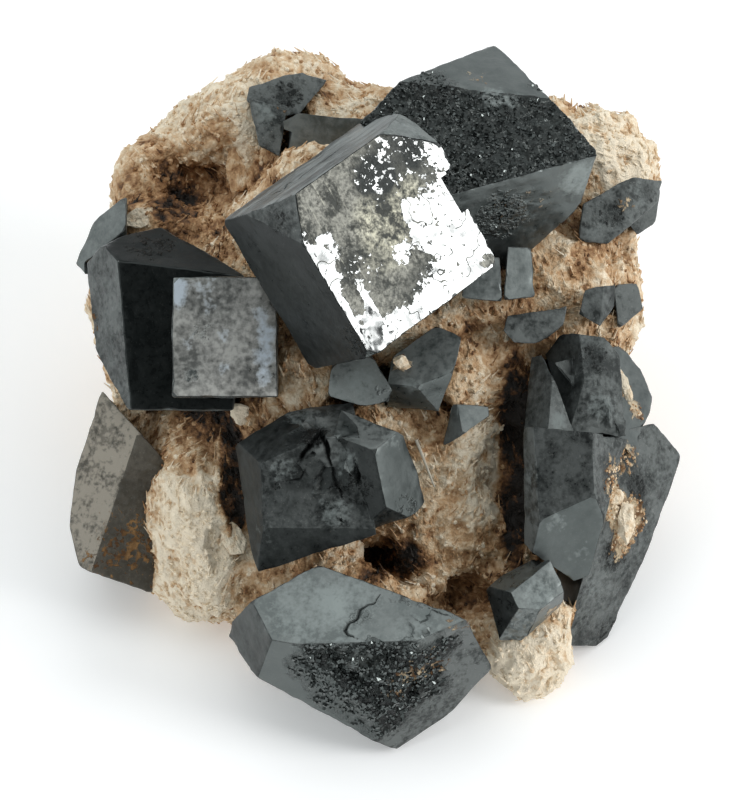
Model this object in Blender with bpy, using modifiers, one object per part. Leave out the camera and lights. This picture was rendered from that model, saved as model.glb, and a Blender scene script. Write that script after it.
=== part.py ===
"""Perovskite specimen: black, cube-like crystals grown on a tan, granular and fibrous matrix.

The specimen is laid out on its crystal-bearing face. A place on it is (across, up, out) in
millimetres: across to the right, up the face, and straight out of it. The whole face is tilted
back by FACE_TILT, and the matrix is broken off flat underneath, where it rests on the table.

A crystal is described the way a two-circle goniometer reads it. Each flat face has
    turn   degrees clockwise from straight up the face of the specimen,
    lean   degrees away from facing straight out (0 faces out, 90 is edge-on, 180 faces back),
    reach  millimetres from the crystal's place to the flat.
"""
import math

import bmesh
import bpy
from mathutils import Matrix, Vector, noise

MM = 0.001

FACE_TILT = 40.0        # degrees between the crystal-bearing face and the table
BASE_DEPTH = 8.4        # from the middle of the face straight down to the flat underside
SOCKET_GAP = 0.3        # clearance between a crystal and the matrix around it
CRYSTAL_FLOOR = 0.15    # crystals that hang low stop this far above the table
ROUGH_BLOCK = 40.0      # side of the block that a crystal is cut from

MATRIX_FACET = 0.85     # facet size of the matrix
MATRIX_ROUGHNESS = 0.55  # height of its granular relief
MATRIX_GRAIN = 2.6      # spacing of that relief

COLLECTION = "perovskite_specimen"


# ---------------------------------------------------------------- scene set-up

def clear_scene():
    for thing in list(bpy.data.objects):
        bpy.data.objects.remove(thing, do_unlink=True)


def new_collection(name):
    collection = bpy.data.collections.new(name)
    bpy.context.scene.collection.children.link(collection)
    return collection


def material(name, colour, roughness, metallic):
    surface = bpy.data.materials.new(name)
    surface.use_nodes = True
    shader = surface.node_tree.nodes["Principled BSDF"]
    shader.inputs["Base Color"].default_value = (*colour, 1.0)
    shader.inputs["Roughness"].default_value = roughness
    shader.inputs["Metallic"].default_value = metallic
    surface.diffuse_color = (*colour, 1.0)
    return surface


def object_from(name, shape, collection, surface=None):
    """Turn a finished shape, in millimetres on the specimen's face, into an object in metres."""
    mesh = bpy.data.meshes.new(name)
    bmesh.ops.recalc_face_normals(shape, faces=shape.faces)
    bmesh.ops.scale(shape, verts=shape.verts, vec=(MM, MM, MM))
    shape.to_mesh(mesh)
    shape.free()
    thing = bpy.data.objects.new(name, mesh)
    collection.objects.link(thing)
    if surface:
        mesh.materials.append(surface)
    return thing


def down():
    """Straight down to the table, seen from the tilted face."""
    tilt = math.radians(FACE_TILT)
    return Vector((0, -math.sin(tilt), -math.cos(tilt)))


# ---------------------------------------------------------------- crystal shapes

def towards(turn, lean):
    turn, lean = math.radians(turn), math.radians(lean)
    return Vector((math.sin(turn) * math.sin(lean), math.cos(turn) * math.sin(lean), math.cos(lean)))


def faces(*readings):
    """Goniometer readings (turn, lean, reach) as unit directions with their reach."""
    return [(towards(turn, lean), reach) for turn, lean, reach in readings]


def cube_axes(turn, lean, spin):
    """Width, height and depth axes of a cube: its front looks along (turn, lean), spun in its plane."""
    out = towards(turn, lean)
    up = Vector((0, 1, 0))
    up = (up - up.dot(out) * out).normalized()
    up = Matrix.Rotation(math.radians(spin), 3, out) @ up
    return up.cross(out).normalized(), up, out


def cube(turn, lean, spin, size, chips=()):
    """Six faces of a cube-like crystal, and a flat for each corner or edge broken off it.

    A chip is ((a, b, c), (x, y, z)): the corner it takes, as signs along the width, height and
    depth axes with 0 along an edge, and how far from that corner it meets each edge.
    """
    axes = cube_axes(turn, lean, spin)
    flats = []
    for axis, length in zip(axes, size):
        flats += [(axis, length / 2), (-axis, length / 2)]
    for signs, lengths in chips:
        normal = sum((axis * sign / length for axis, sign, length in zip(axes, signs, lengths)), Vector())
        corner = sum((axis * sign * side / 2 for axis, sign, side in zip(axes, signs, size)), Vector())
        reach = normal.normalized().dot(corner) - 1 / normal.length
        flats.append((normal.normalized(), reach))
    return flats


def block(at, flats, grow=0.0):
    """One crystal: a rough block at its place, cut back to every flat, and then to the table."""
    at = Vector(at)
    shape = bmesh.new()
    bmesh.ops.create_cube(shape, size=ROUGH_BLOCK)
    low = BASE_DEPTH - CRYSTAL_FLOOR - down().dot(at)
    for normal, reach in [*flats, (down(), low)]:
        cut = bmesh.ops.bisect_plane(
            shape, geom=[*shape.verts, *shape.edges, *shape.faces], dist=1e-5,
            plane_co=normal * (reach + grow), plane_no=normal, clear_outer=True)
        rim = [part for part in cut["geom_cut"] if isinstance(part, bmesh.types.BMEdge)]
        if rim:
            bmesh.ops.edgeloop_fill(shape, edges=rim)
    bmesh.ops.translate(shape, verts=shape.verts, vec=at)
    return shape


def slab(centre, axes, size):
    """A box with its own axes, for a step or a notch in a crystal."""
    shape = bmesh.new()
    bmesh.ops.create_cube(shape, size=1.0)
    bmesh.ops.scale(shape, verts=shape.verts, vec=size)
    turn = Matrix([list(axis) for axis in axes]).transposed()
    bmesh.ops.rotate(shape, verts=shape.verts, matrix=turn)
    bmesh.ops.translate(shape, verts=shape.verts, vec=centre)
    return shape


def boolean(thing, cutter, operation):
    step = thing.modifiers.new(operation.lower(), "BOOLEAN")
    step.solver = "EXACT"
    step.operation = operation
    step.object = cutter


def apply_modifiers(thing):
    """Freeze an object's modifiers into its mesh."""
    graph = bpy.context.evaluated_depsgraph_get()
    finished = bpy.data.meshes.new_from_object(thing.evaluated_get(graph))
    thing.modifiers.clear()
    thing.data = finished


def keep_largest(thing):
    """Drop loose crumbs that the cuts have freed, so that one solid remains."""
    shape = bmesh.new()
    shape.from_mesh(thing.data)
    shape.verts.ensure_lookup_table()
    unseen = set(shape.verts)
    islands = []
    while unseen:
        island, front = set(), [unseen.pop()]
        while front:
            vert = front.pop()
            island.add(vert)
            for edge in vert.link_edges:
                other = edge.other_vert(vert)
                if other in unseen:
                    unseen.remove(other)
                    front.append(other)
        islands.append(island)
    islands.sort(key=len)
    for island in islands[:-1]:
        bmesh.ops.delete(shape, geom=list(island), context="VERTS")
    shape.to_mesh(thing.data)
    shape.free()


class Specimen:
    """The pieces made so far, and the cutters that shape them."""

    def __init__(self):
        self.pieces = new_collection(COLLECTION)
        self.cutters = new_collection(COLLECTION + "_cutters")
        self.black = material("black_crystal", (0.035, 0.037, 0.040), 0.32, 0.35)
        self.tan = material("tan_matrix", (0.52, 0.38, 0.24), 0.9, 0.0)
        self.sockets = {}

    def cutter(self, name, shape):
        thing = object_from(name, shape, self.cutters)
        thing.hide_render = True
        thing.display_type = "WIRE"
        return thing

    def crystal(self, name, *blocks, steps=(), beside=()):
        """A crystal, or several grown into each other: (place, flats) for each, joined in one solid.

        The steps are cut from the first before the others are joined to it. Where the crystal has
        grown up against an older one, that one is named in beside and keeps its shape.
        """
        first, *others = blocks
        thing = object_from(name, block(*first), self.pieces, self.black)
        for number, step in enumerate(steps, 1):
            boolean(thing, self.cutter(f"{name}_step_{number}", step), "DIFFERENCE")
        for number, other in enumerate(others, 2):
            boolean(thing, self.cutter(f"{name}_{number}", block(*other)), "UNION")
        for neighbour in beside:
            for socket in self.sockets[neighbour]:
                boolean(thing, socket, "DIFFERENCE")
        self.sockets[name] = [self.cutter(f"{name}_socket_{number}", block(at, flats, SOCKET_GAP))
                              for number, (at, flats) in enumerate(blocks, 1)]


# ---------------------------------------------------------------- the clean cubes

def great_cubes(specimen):
    """The large bright cube that stands proud of all the others, grown onto a dark one behind it."""
    at = (-0.2, 6.0, 3.0)
    pose = (80, 29.5, 32.5)
    width, height, depth = 7.1, 6.6, 4.6
    chips = [((-1, 1, 1), (0.8, 1.7, 2.6)), ((1, 1, 1), (1.9, 1.6, 1.3)),
             ((-1, -1, 1), (0.35, 0.35, 0.5)), ((1, -1, 1), (0.4, 0.3, 0.5))]
    across, up, out = cube_axes(*pose)
    right_side = Vector(at) + across * width / 2
    worn_edge = slab(right_side - up * 1.35, (across, up, out), (0.8, 4.1, 2 * depth))
    notch = slab(right_side - up * 0.15, (across, up, out), (1.4, 1.5, 1.6 * depth))
    bright = (at, cube(*pose, (width, height, depth), chips))
    dark = ((5.0, 9.6, -2.0), faces(
        (19, 24, 2.75),      # dark granular front
        (10, 54, 2.9),       # light grey top
        (152, 50, 3.2),      # lower flank
        (51, 94, 2.5), (332, 94, 3.8), (311, 94, 4.35), (102, 94, 3.35), (137, 96, 3.55), (225, 90, 3.2),
        (0, 180, 4.6)))
    specimen.crystal("great_cubes", bright, dark, steps=(worn_edge, notch))


# ---------------------------------------------------------------- crystals on the left

def left_cubes(specimen):
    """A small cube whose flat face looks straight out and shines pale, on a dark one behind it."""
    pale = ((-5.44, 2.36, 0.2), cube(0, 0, 0, (3.94, 4.5, 4.0), [((1, 0, 1), (0.65, 1, 0.12))]))
    dark = ((-7.9, 3.1, -3.0), faces(
        (242, 6, 3.0),       # front, in deep shade
        (4, 59, 3.3),        # top
        (264, 61, 2.7),      # left side
        (328, 98, 3.35), (344, 98, 3.4), (36, 98, 2.7), (264, 98, 2.7), (235, 98, 2.75),
        (95, 90, 3.0), (180, 90, 3.5), (0, 180, 2.4)))
    specimen.crystal("left_cubes", pale, dark)


def rim_crystal(specimen):
    """A crystal half buried in the upper left rim, against the dark cube."""
    specimen.crystal("rim_crystal", ((-10.6, 6.4, -5.0), faces(
        (288, 44, 1.05),
        (331, 98, 0.45), (296, 98, 0.2), (289, 98, 0.3), (222, 98, 1.25), (90, 92, 1.1),
        (150, 92, 1.6), (0, 180, 1.6))), beside=["left_cubes"])


def lower_left_crystal(specimen):
    """The brown-stained crystal with a long ridge between two broad faces."""
    specimen.crystal("lower_left_crystal", ((-10.0, -3.9, -3.5), faces(
        (274, 23, 1.8),      # broad left face
        (142, 11, 2.05),     # stained right face
        (289, 97, 1.45), (279, 97, 1.3), (254, 97, 1.65), (201, 97, 2.55), (48, 94, 2.5),
        (95, 94, 1.85), (0, 180, 2.2))))


# ---------------------------------------------------------------- crystals in the middle

def centre_cluster(specimen):
    """Two many-faced crystals grown into each other, in the middle of the face."""
    left = ((-2.7, -3.4, -0.5), faces(
        (205, 12, 3.1),      # front
        (263, 64, 2.55),     # left strip
        (189, 30, 3.2),      # low face
        (329, 55, 3.15),     # upper left
        (350, 60, 3.35),     # top
        (261, 100, 1.85), (251, 100, 2.1), (159, 100, 2.0), (327, 100, 2.4), (352, 100, 2.7),
        (80, 90, 2.6), (0, 180, 1.6)))
    right = ((0.4, -2.9, -0.3), faces(
        (0, 51, 3.4),        # light upper face
        (94, 45, 2.7),       # right face
        (237, 37, 3.1),      # dark triangle
        (167, 56, 2.9),      # under face
        (65, 98, 1.0), (72, 98, 1.0), (132, 98, 1.55), (162, 98, 1.35), (25, 98, 1.35),
        (280, 94, 1.75), (0, 180, 1.8)))
    specimen.crystal("centre_cluster", left, right)


def centre_pair(specimen):
    """A light six-sided crystal grown against a darker one, below the front cube."""
    hexagon = ((-0.3, 0.6, 0.0), faces(
        (309, 20, 1.85),
        (275, 95, 1.1), (196, 95, 0.62), (171, 95, 0.62), (109, 95, 0.95), (61, 92, 0.8), (350, 92, 0.95),
        (0, 180, 1.6)))
    dark = ((2.1, 1.1, -0.4), faces(
        (342, 29, 1.85),     # upper face
        (194, 55, 1.9), (155, 40, 2.05),
        (106, 96, 0.75), (27, 96, 1.55), (324, 94, 1.05), (183, 96, 1.35), (277, 94, 1.2),
        (0, 180, 1.4)))
    specimen.crystal("centre_pair", hexagon, dark)


def small_triangle_crystal(specimen):
    """One corner of a small crystal that shows as a triangle."""
    specimen.crystal("small_triangle_crystal", ((3.7, -0.7, 0.0), faces(
        (42, 26, 1.2), (275, 48, 1.2),
        (5, 94, 0.45), (146, 96, 0.25), (283, 96, 0.6), (90, 92, 0.75), (0, 180, 1.1))))


# ---------------------------------------------------------------- crystals below the back cube

def twin_blocks(specimen):
    """Two small blocks side by side under the back cube."""
    specimen.crystal("small_block_left", ((4.4, 4.5, -1.0), faces(
        (118, 15, 2.0), (84, 97, 0.3), (187, 97, 0.5), (277, 97, 0.6), (356, 97, 0.6), (0, 180, 1.0))),
        beside=["great_cubes"])
    specimen.crystal("small_block_right", ((5.7, 4.8, -1.5), faces(
        (55, 17, 1.5), (273, 97, 0.35), (87, 97, 0.35), (176, 97, 0.75), (0, 97, 0.85), (0, 180, 1.0))),
        beside=["great_cubes"])


def lens_crystal(specimen):
    """A low, almond-shaped crystal."""
    specimen.crystal("lens_crystal", ((6.3, 2.8, -1.6), faces(
        (50, 13, 1.55),
        (285, 97, 0.95), (349, 97, 0.4), (103, 97, 0.85), (144, 97, 0.4), (181, 97, 0.45), (230, 97, 0.85),
        (0, 180, 1.0))))


def right_small_crystals(specimen):
    """Two little blocks near the right edge."""
    specimen.crystal("right_small_crystal", ((8.7, 3.6, -2.4), faces(
        (318, 6, 1.95), (94, 49, 1.4),
        (349, 96, 0.5), (93, 96, 0.5), (131, 96, 0.35), (208, 96, 0.45), (284, 96, 0.45), (0, 180, 1.0))))
    specimen.crystal("right_edge_crystal", ((10.05, 3.95, -4.0), faces(
        (60, 25, 1.3), (353, 96, 0.45), (81, 96, 0.3), (144, 96, 0.5), (263, 94, 0.5), (0, 180, 0.8))))


def upper_right_crystals(specimen):
    """Two dark crystals grown together in the upper right rim."""
    inner = ((9.4, 7.2, -4.5), faces(
        (60, 10, 1.9), (79, 34, 1.75),
        (329, 96, 0.7), (1, 96, 1.3), (103, 96, 1.55), (143, 96, 0.6), (187, 96, 1.0), (278, 96, 1.0),
        (0, 180, 1.2)))
    outer = ((10.7, 7.3, -5.6), faces(
        (80, 30, 1.35), (315, 96, 0.1), (101, 96, 0.35), (151, 96, 0.45), (233, 96, 0.6), (0, 180, 0.8)))
    specimen.crystal("upper_right_crystals", inner, outer)


def top_left_crystals(specimen):
    """Three crystals grown together in the top left rim."""
    upper = ((-3.3, 12.0, -6.2), faces(
        (6, 11, 1.55), (48, 23, 1.5),
        (343, 96, 0.5), (13, 96, 0.85), (130, 96, 0.8), (169, 96, 0.75), (220, 96, 1.05), (279, 96, 1.3),
        (0, 180, 1.0)))
    lower = ((-4.0, 10.6, -5.4), faces(
        (20, 8, 1.5), (255, 96, 0.3), (209, 96, 0.6), (100, 96, 0.5), (17, 96, 0.8), (0, 180, 1.0)))
    specimen.crystal("top_left_crystals", upper, lower)
    specimen.crystal("behind_front_cube_crystal", ((-2.15, 10.25, -5.0), faces(
        (200, 12, 1.4),
        (263, 96, 1.0), (192, 96, 0.95), (143, 96, 0.6), (6, 96, 0.65), (334, 96, 0.9), (0, 180, 1.0))),
        beside=["top_left_crystals"])


# ---------------------------------------------------------------- crystals on the right

def right_cluster(specimen):
    """The long group down the right side: a prism, crystals above it, and a weathered flank."""
    prism = ((7.5, -3.6, -1.5), faces(
        (75, 5, 3.45),       # front
        (267, 60, 2.8),      # narrow left strip
        (148, 31, 3.15),     # pale six-sided end
        (87, 59, 2.55),      # right side
        (270, 96, 1.4), (219, 96, 2.2), (5, 94, 2.2), (105, 85, 1.75), (160, 92, 3.1), (0, 180, 2.0)))
    upper = ((8.4, 0.6, -2.0), faces(
        (20, 22, 2.7), (282, 50, 2.1), (130, 12, 2.75), (80, 40, 2.3),
        (8, 97, 1.55), (47, 97, 1.3), (86, 97, 0.9), (310, 97, 1.9), (251, 97, 1.1), (184, 97, 1.6),
        (0, 180, 2.0)))
    sliver = ((6.7, 0.0, -1.2), faces(
        (77, 30, 2.05), (285, 47, 1.5),
        (276, 94, 0.65), (68, 94, 0.35), (355, 94, 1.6), (179, 94, 1.2), (0, 180, 1.5)))
    flank = ((9.8, -5.0, -3.5), faces(
        (85, 45, 2.1), (106, 49, 1.6), (123, 52, 1.7),
        (44, 98, 3.5), (112, 98, 0.95), (194, 98, 4.5), (281, 80, 1.9), (339, 98, 3.2), (0, 180, 1.5)))
    far = ((10.1, 0.4, -3.8), faces(
        (66, 50, 1.2), (46, 97, 0.65), (71, 97, 0.5), (120, 97, 0.8), (230, 92, 1.6), (340, 95, 1.6),
        (0, 180, 1.0)))
    specimen.crystal("right_cluster", prism, upper, sliver, flank, far)


# ---------------------------------------------------------------- crystals at the bottom

def lower_right_crystal(specimen):
    """A small crystal with a clean pale top and granular sides."""
    specimen.crystal("lower_right_crystal", ((6.0, -7.9, 0.0), faces(
        (38, 19, 2.25),      # pale top
        (250, 54, 1.75), (174, 52, 1.4), (137, 70, 1.0), (333, 62, 1.95),
        (333, 96, 1.5), (60, 96, 1.4), (79, 96, 1.2), (136, 96, 0.6), (183, 96, 1.15), (258, 96, 1.25),
        (316, 96, 1.5), (0, 180, 1.6))), beside=["right_cluster"])


def bottom_crystal(specimen):
    """The broad crystal at the bottom: a light upper face over a broken, sparkling one."""
    specimen.crystal("bottom_crystal", ((-0.6, -9.5, 0.8), faces(
        (352, 31, 3.4),      # light upper face
        (257, 64, 4.0),      # dark left end
        (199, 49, 2.5),      # smooth lower left
        (183, 37, 2.6),      # broken, sparkling middle
        (150, 51, 2.9),      # smooth lower right
        (329, 99, 3.25), (22, 99, 2.3), (291, 99, 4.6), (211, 98, 2.4), (227, 98, 3.1), (210, 98, 3.0),
        (221, 98, 2.9), (146, 98, 4.0), (127, 98, 4.35), (53, 98, 3.65), (0, 180, 2.4))))


# ---------------------------------------------------------------- matrix

MATRIX_LUMPS = [        # (place), (half-sizes across, up and out)
    ((0.0, 0.0, -5.0), (9.6, 10.4, 5.3)),       # core
    ((0.0, 3.0, -8.8), (9.4, 6.5, 5.0)),        # back of the core
    ((-5.0, 4.6, -8.6), (4.8, 4.8, 4.4)),
    ((5.5, 5.0, -8.4), (5.0, 5.0, 4.4)),
    ((-3.6, 10.4, -7.6), (4.0, 3.6, 2.6)),      # top left bump
    ((-5.6, 10.2, -7.2), (2.7, 2.7, 2.4)),
    ((-7.7, 7.6, -6.4), (3.0, 3.0, 2.6)),       # upper left shoulder
    ((0.6, 9.4, -6.8), (3.7, 3.3, 3.4)),        # behind the front cube
    ((7.7, 8.5, -6.2), (3.7, 3.7, 2.4)),        # upper right shoulder
    ((8.2, 4.0, -5.0), (2.5, 3.2, 3.1)),        # right
    ((-8.3, 3.2, -5.6), (2.8, 4.0, 2.6)),       # left
    ((-6.3, -4.9, -3.6), (3.1, 4.1, 3.9)),      # pale lump low on the left
    ((3.4, -1.6, -2.4), (3.4, 5.0, 3.0)),       # fibrous band right of the middle
    ((-1.0, 7.0, -2.2), (3.4, 3.0, 3.0)),       # pedestal of the front cube
    ((0.6, -7.6, -3.0), (6.2, 3.4, 3.4)),       # behind the bottom crystal
    ((6.1, -9.1, -1.3), (1.9, 2.4, 1.7)),       # creamy nub low on the right
]

MATRIX_HOLLOWS = [
    ((-6.7, 8.6, -3.6), (2.1, 1.4, 2.8)),       # brown hollow at the upper left
    ((0.4, -6.0, -1.0), (1.2, 1.0, 3.4)),       # dark cavity below the centre cluster
    ((1.7, -6.5, -1.0), (1.2, 1.0, 3.2)),
    ((3.7, -7.7, -0.4), (1.3, 1.0, 2.8)),       # hollow beside the bottom crystal
    ((5.0, -2.6, -0.4), (0.9, 3.6, 2.4)),       # cleft along the prism
    ((-5.3, -3.2, -0.2), (0.7, 2.4, 2.6)),      # cleft left of the centre cluster
]


def ellipsoid(shape, place, half_sizes):
    made = bmesh.ops.create_icosphere(shape, subdivisions=3, radius=1.0)
    bmesh.ops.scale(shape, verts=made["verts"], vec=half_sizes)
    bmesh.ops.translate(shape, verts=made["verts"], vec=place)


def run_together(thing, facet):
    """Blend lumps that meet, and round off what has been hollowed out, in even facets."""
    step = thing.modifiers.new("run_together", "REMESH")
    step.mode = "VOXEL"
    step.voxel_size = facet * MM


def matrix_relief(thing):
    """Push the surface in and out with a seeded relief, sharper inwards than outwards."""
    shape = bmesh.new()
    shape.from_mesh(thing.data)
    bmesh.ops.triangulate(shape, faces=shape.faces)
    shape.normal_update()
    moves = []
    for vert in shape.verts:
        place = vert.co / (MATRIX_GRAIN * MM)
        coarse = noise.noise(place / 2 + Vector((3.1, 0.7, 5.3)))
        fine = noise.noise(place + Vector((9.2, 4.4, 1.8)))
        ridge = abs(noise.noise(place / 1.4 + Vector((1.5, 8.8, 2.9))))
        height = MATRIX_ROUGHNESS * (1.1 * coarse + 0.8 * fine - 0.9 * ridge)
        moves.append(vert.normal * height * MM)
    for vert, move in zip(shape.verts, moves):
        vert.co += move
    shape.to_mesh(thing.data)
    shape.free()


def matrix(specimen):
    """The matrix: lumps run together, roughened, hollowed, socketed, and broken off flat below."""
    lumps = bmesh.new()
    for place, half_sizes in MATRIX_LUMPS:
        ellipsoid(lumps, place, half_sizes)
    thing = object_from("matrix", lumps, specimen.pieces, specimen.tan)
    run_together(thing, MATRIX_FACET / 2)
    for number, (place, half_sizes) in enumerate(MATRIX_HOLLOWS, 1):
        hollow = bmesh.new()
        ellipsoid(hollow, place, half_sizes)
        boolean(thing, specimen.cutter(f"matrix_hollow_{number}", hollow), "DIFFERENCE")
    run_together(thing, MATRIX_FACET)
    apply_modifiers(thing)
    matrix_relief(thing)

    across = Vector((1, 0, 0))
    table = slab(down() * (BASE_DEPTH + ROUGH_BLOCK / 2), (across, down().cross(across), down()),
                 (ROUGH_BLOCK, ROUGH_BLOCK, ROUGH_BLOCK))
    boolean(thing, specimen.cutter("matrix_underside", table), "DIFFERENCE")
    for sockets in specimen.sockets.values():
        for socket in sockets:
            boolean(thing, socket, "DIFFERENCE")
    apply_modifiers(thing)
    keep_largest(thing)


# ---------------------------------------------------------------- assembly

def lean_back(specimen):
    """Tilt the face back and stand the specimen on its underside, centred over the origin."""
    rest = bpy.data.objects.new("specimen_rest", None)
    bpy.context.scene.collection.objects.link(rest)
    rest.rotation_euler = (math.radians(FACE_TILT), 0, 0)
    for thing in [*specimen.pieces.objects, *specimen.cutters.objects]:
        thing.parent = rest
    graph = bpy.context.evaluated_depsgraph_get()
    graph.update()
    places = []
    for piece in specimen.pieces.objects:
        evaluated = piece.evaluated_get(graph)
        places += [evaluated.matrix_world @ vert.co for vert in evaluated.data.vertices]
    low = [min(place[axis] for place in places) for axis in range(3)]
    high = [max(place[axis] for place in places) for axis in range(3)]
    rest.location = (-(low[0] + high[0]) / 2, -(low[1] + high[1]) / 2, -low[2])


def build():
    clear_scene()
    specimen = Specimen()
    for piece in (great_cubes, left_cubes, rim_crystal, lower_left_crystal,
                  centre_cluster, centre_pair, small_triangle_crystal, twin_blocks, lens_crystal,
                  right_small_crystals, upper_right_crystals, top_left_crystals, right_cluster,
                  lower_right_crystal, bottom_crystal, matrix):
        piece(specimen)
    lean_back(specimen)


build()
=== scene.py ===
"""Looks of a perovskite specimen: black cube-like crystals on a tan, granular and fibrous matrix."""
import math

import bmesh
import bpy
from mathutils import Matrix, Vector, kdtree, noise
from mathutils.bvhtree import BVHTree


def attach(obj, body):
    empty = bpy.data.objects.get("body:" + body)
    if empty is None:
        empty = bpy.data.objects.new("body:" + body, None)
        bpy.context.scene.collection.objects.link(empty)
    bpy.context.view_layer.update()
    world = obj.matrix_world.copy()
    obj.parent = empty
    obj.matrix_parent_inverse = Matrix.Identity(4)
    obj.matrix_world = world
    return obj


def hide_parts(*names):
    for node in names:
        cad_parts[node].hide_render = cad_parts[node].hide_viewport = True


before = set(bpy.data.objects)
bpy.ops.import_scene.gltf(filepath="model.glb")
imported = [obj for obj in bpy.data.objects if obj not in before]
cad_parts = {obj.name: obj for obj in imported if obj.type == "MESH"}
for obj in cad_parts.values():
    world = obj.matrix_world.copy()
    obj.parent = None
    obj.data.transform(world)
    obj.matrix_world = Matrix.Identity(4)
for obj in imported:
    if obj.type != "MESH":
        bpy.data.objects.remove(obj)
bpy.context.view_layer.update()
MM = 0.001


# ---------------------------------------------------------------- the two great cubes
# Two large perovskite crystals grown into each other. The front one is cleanly cubic, with one
# face like a mirror where it isn't tarnished; the one behind is darker and granular. Both are
# nearly black, and shine because the mineral bends light almost as strongly as diamond does.

CRYSTAL_IOR = 2.0
BRIGHT_IOR = 1.45               # of the bright face's tarnish; where that is bare it mirrors like metal
BRIGHT_MIRROR = (0.165, 0.170, 0.168, 1.0)
BROKEN_IOR = 1.45               # a broken, granular flat traps most of the light it gets
CRYSTAL_BLACK = (0.009, 0.012, 0.012, 1.0)
CRYSTAL_TINT = (0.90, 1.0, 0.97, 1.0)
# colour of the dust, which also stands as painted sheen: more of it makes a flat look lighter
CRYSTAL_DUST_AND_SHEEN = (0.125, 0.134, 0.130, 1.0)
CRYSTAL_FILM = (0.19, 0.212, 0.206, 1.0)
CRYSTAL_SOIL = ((0.13, 0.065, 0.028, 1.0), (0.50, 0.40, 0.27, 1.0))
CRYSTAL_SPECKS = (0.42, 0.42, 0.39, 1.0)
# light flecks painted as glints on broken places
BROKEN_GLINT_SPECKS = (0.45, 0.45, 0.43, 1.0)
SCAR_BLACK = (0.006, 0.006, 0.006, 1.0)
# painted shade that blackens groove floors
GROOVE_SHADE_BLACK = (0.003, 0.003, 0.003, 1.0)
EDGE_WEAR = 0.042 * MM          # width of the worn edge between two flats
EDGE_CHIP = 0.030               # how deep the nicks along it go, in mm
SHARP_EDGE = math.radians(25)   # edges that turn more than this are worn
SHARP_SHADE = math.radians(22)  # and those that still turn more than this are shaded sharp
SAME_PLANE = math.radians(1)
SAME_WAY = 0.9985               # cosine between flats that look the same way
WELD = 0.001 * MM               # points nearer than this are one
PLACE_STEP = 0.0001 * MM        # points are put in order to this fineness
CORNER_EDGE = 0.9 * MM          # corners on shorter edges than this aren't knocked
CORNER_OUT = -0.1 * MM          # nor those that stand out less than this
FAR_OUT = 20                    # rays onto the face start this many mm out from it
LAID_WITHIN = 1.5 * MM          # a mark farther from the surface than this stays where it is
BLACK, DEEP, BROKEN = 0, 1, 2   # every crystal's first three surfaces
FIRST_OWN, SECOND_OWN = 3, 4    # and those that only some have
# each flat's dust amount is real dust and painted sheen, set flat by flat for how light the flat looks
FLAT_NAMES = ("grain", "lines", "dust", "rough")    # what each flat of a crystal carries
MARK_NAMES = ("earth", "film", "scar", "steps")     # and what lies on it in places
GROOVE_STEP = 0.04              # a groove is followed in steps of this many mm
NOISE_SEED = 3

noise.seed_set(NOISE_SEED)      # or noise_vector gives other values in each run

FACE_TILT = math.radians(40)    # the crystal-bearing face leans back from the table by this
FACE_MIDDLE = Vector((-0.21, -2.69, 8.4)) * MM
FACE_TO_WORLD = Matrix.Translation(FACE_MIDDLE) @ Matrix.Rotation(FACE_TILT, 4, "X")
FACE_OUT = FACE_TO_WORLD.to_3x3() @ Vector((0, 0, 1))


def on_face(across, up, out):
    """A place on the crystal-bearing face, in millimetres, as a point of the frame."""
    return FACE_TO_WORLD @ (Vector((across, up, out)) * MM)


def towards(turn, lean):
    """The direction a flat looks: turned clockwise from up the face, leaning from straight out."""
    turn, lean = math.radians(turn), math.radians(lean)
    aim = Vector((math.sin(turn) * math.sin(lean), math.cos(turn) * math.sin(lean), math.cos(lean)))
    return FACE_TO_WORLD.to_3x3() @ aim


def soft_step(value, low, high):
    """Nothing below low, one above high, and smooth in between."""
    share = min(1.0, max(0.0, (value - low) / (high - low)))
    return share * share * (3 - 2 * share)


def axes_on(face):
    """Two directions on a flat, the first along its longest edge."""
    longest = max(face.edges, key=lambda edge: edge.calc_length())
    along = (longest.verts[1].co - longest.verts[0].co).normalized()
    return along, face.normal.cross(along)


def spotted(place, spots):
    """How much of a mark there is at a place, from its round spots, each soft at its rim."""
    return sum(share * (1 - soft_step((place - middle).length / radius, 0.4, 1.2))
               for middle, radius, share in spots)


def new_object(name, data):
    thing = bpy.data.objects.new(name, data)
    bpy.context.scene.collection.objects.link(thing)
    return thing


def carry(mesh, name, values):
    """Give each point of a mesh a value under a name, for materials and scatters to read."""
    mesh.attributes.new(name, "FLOAT", "POINT").data.foreach_set("value", values)


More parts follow.
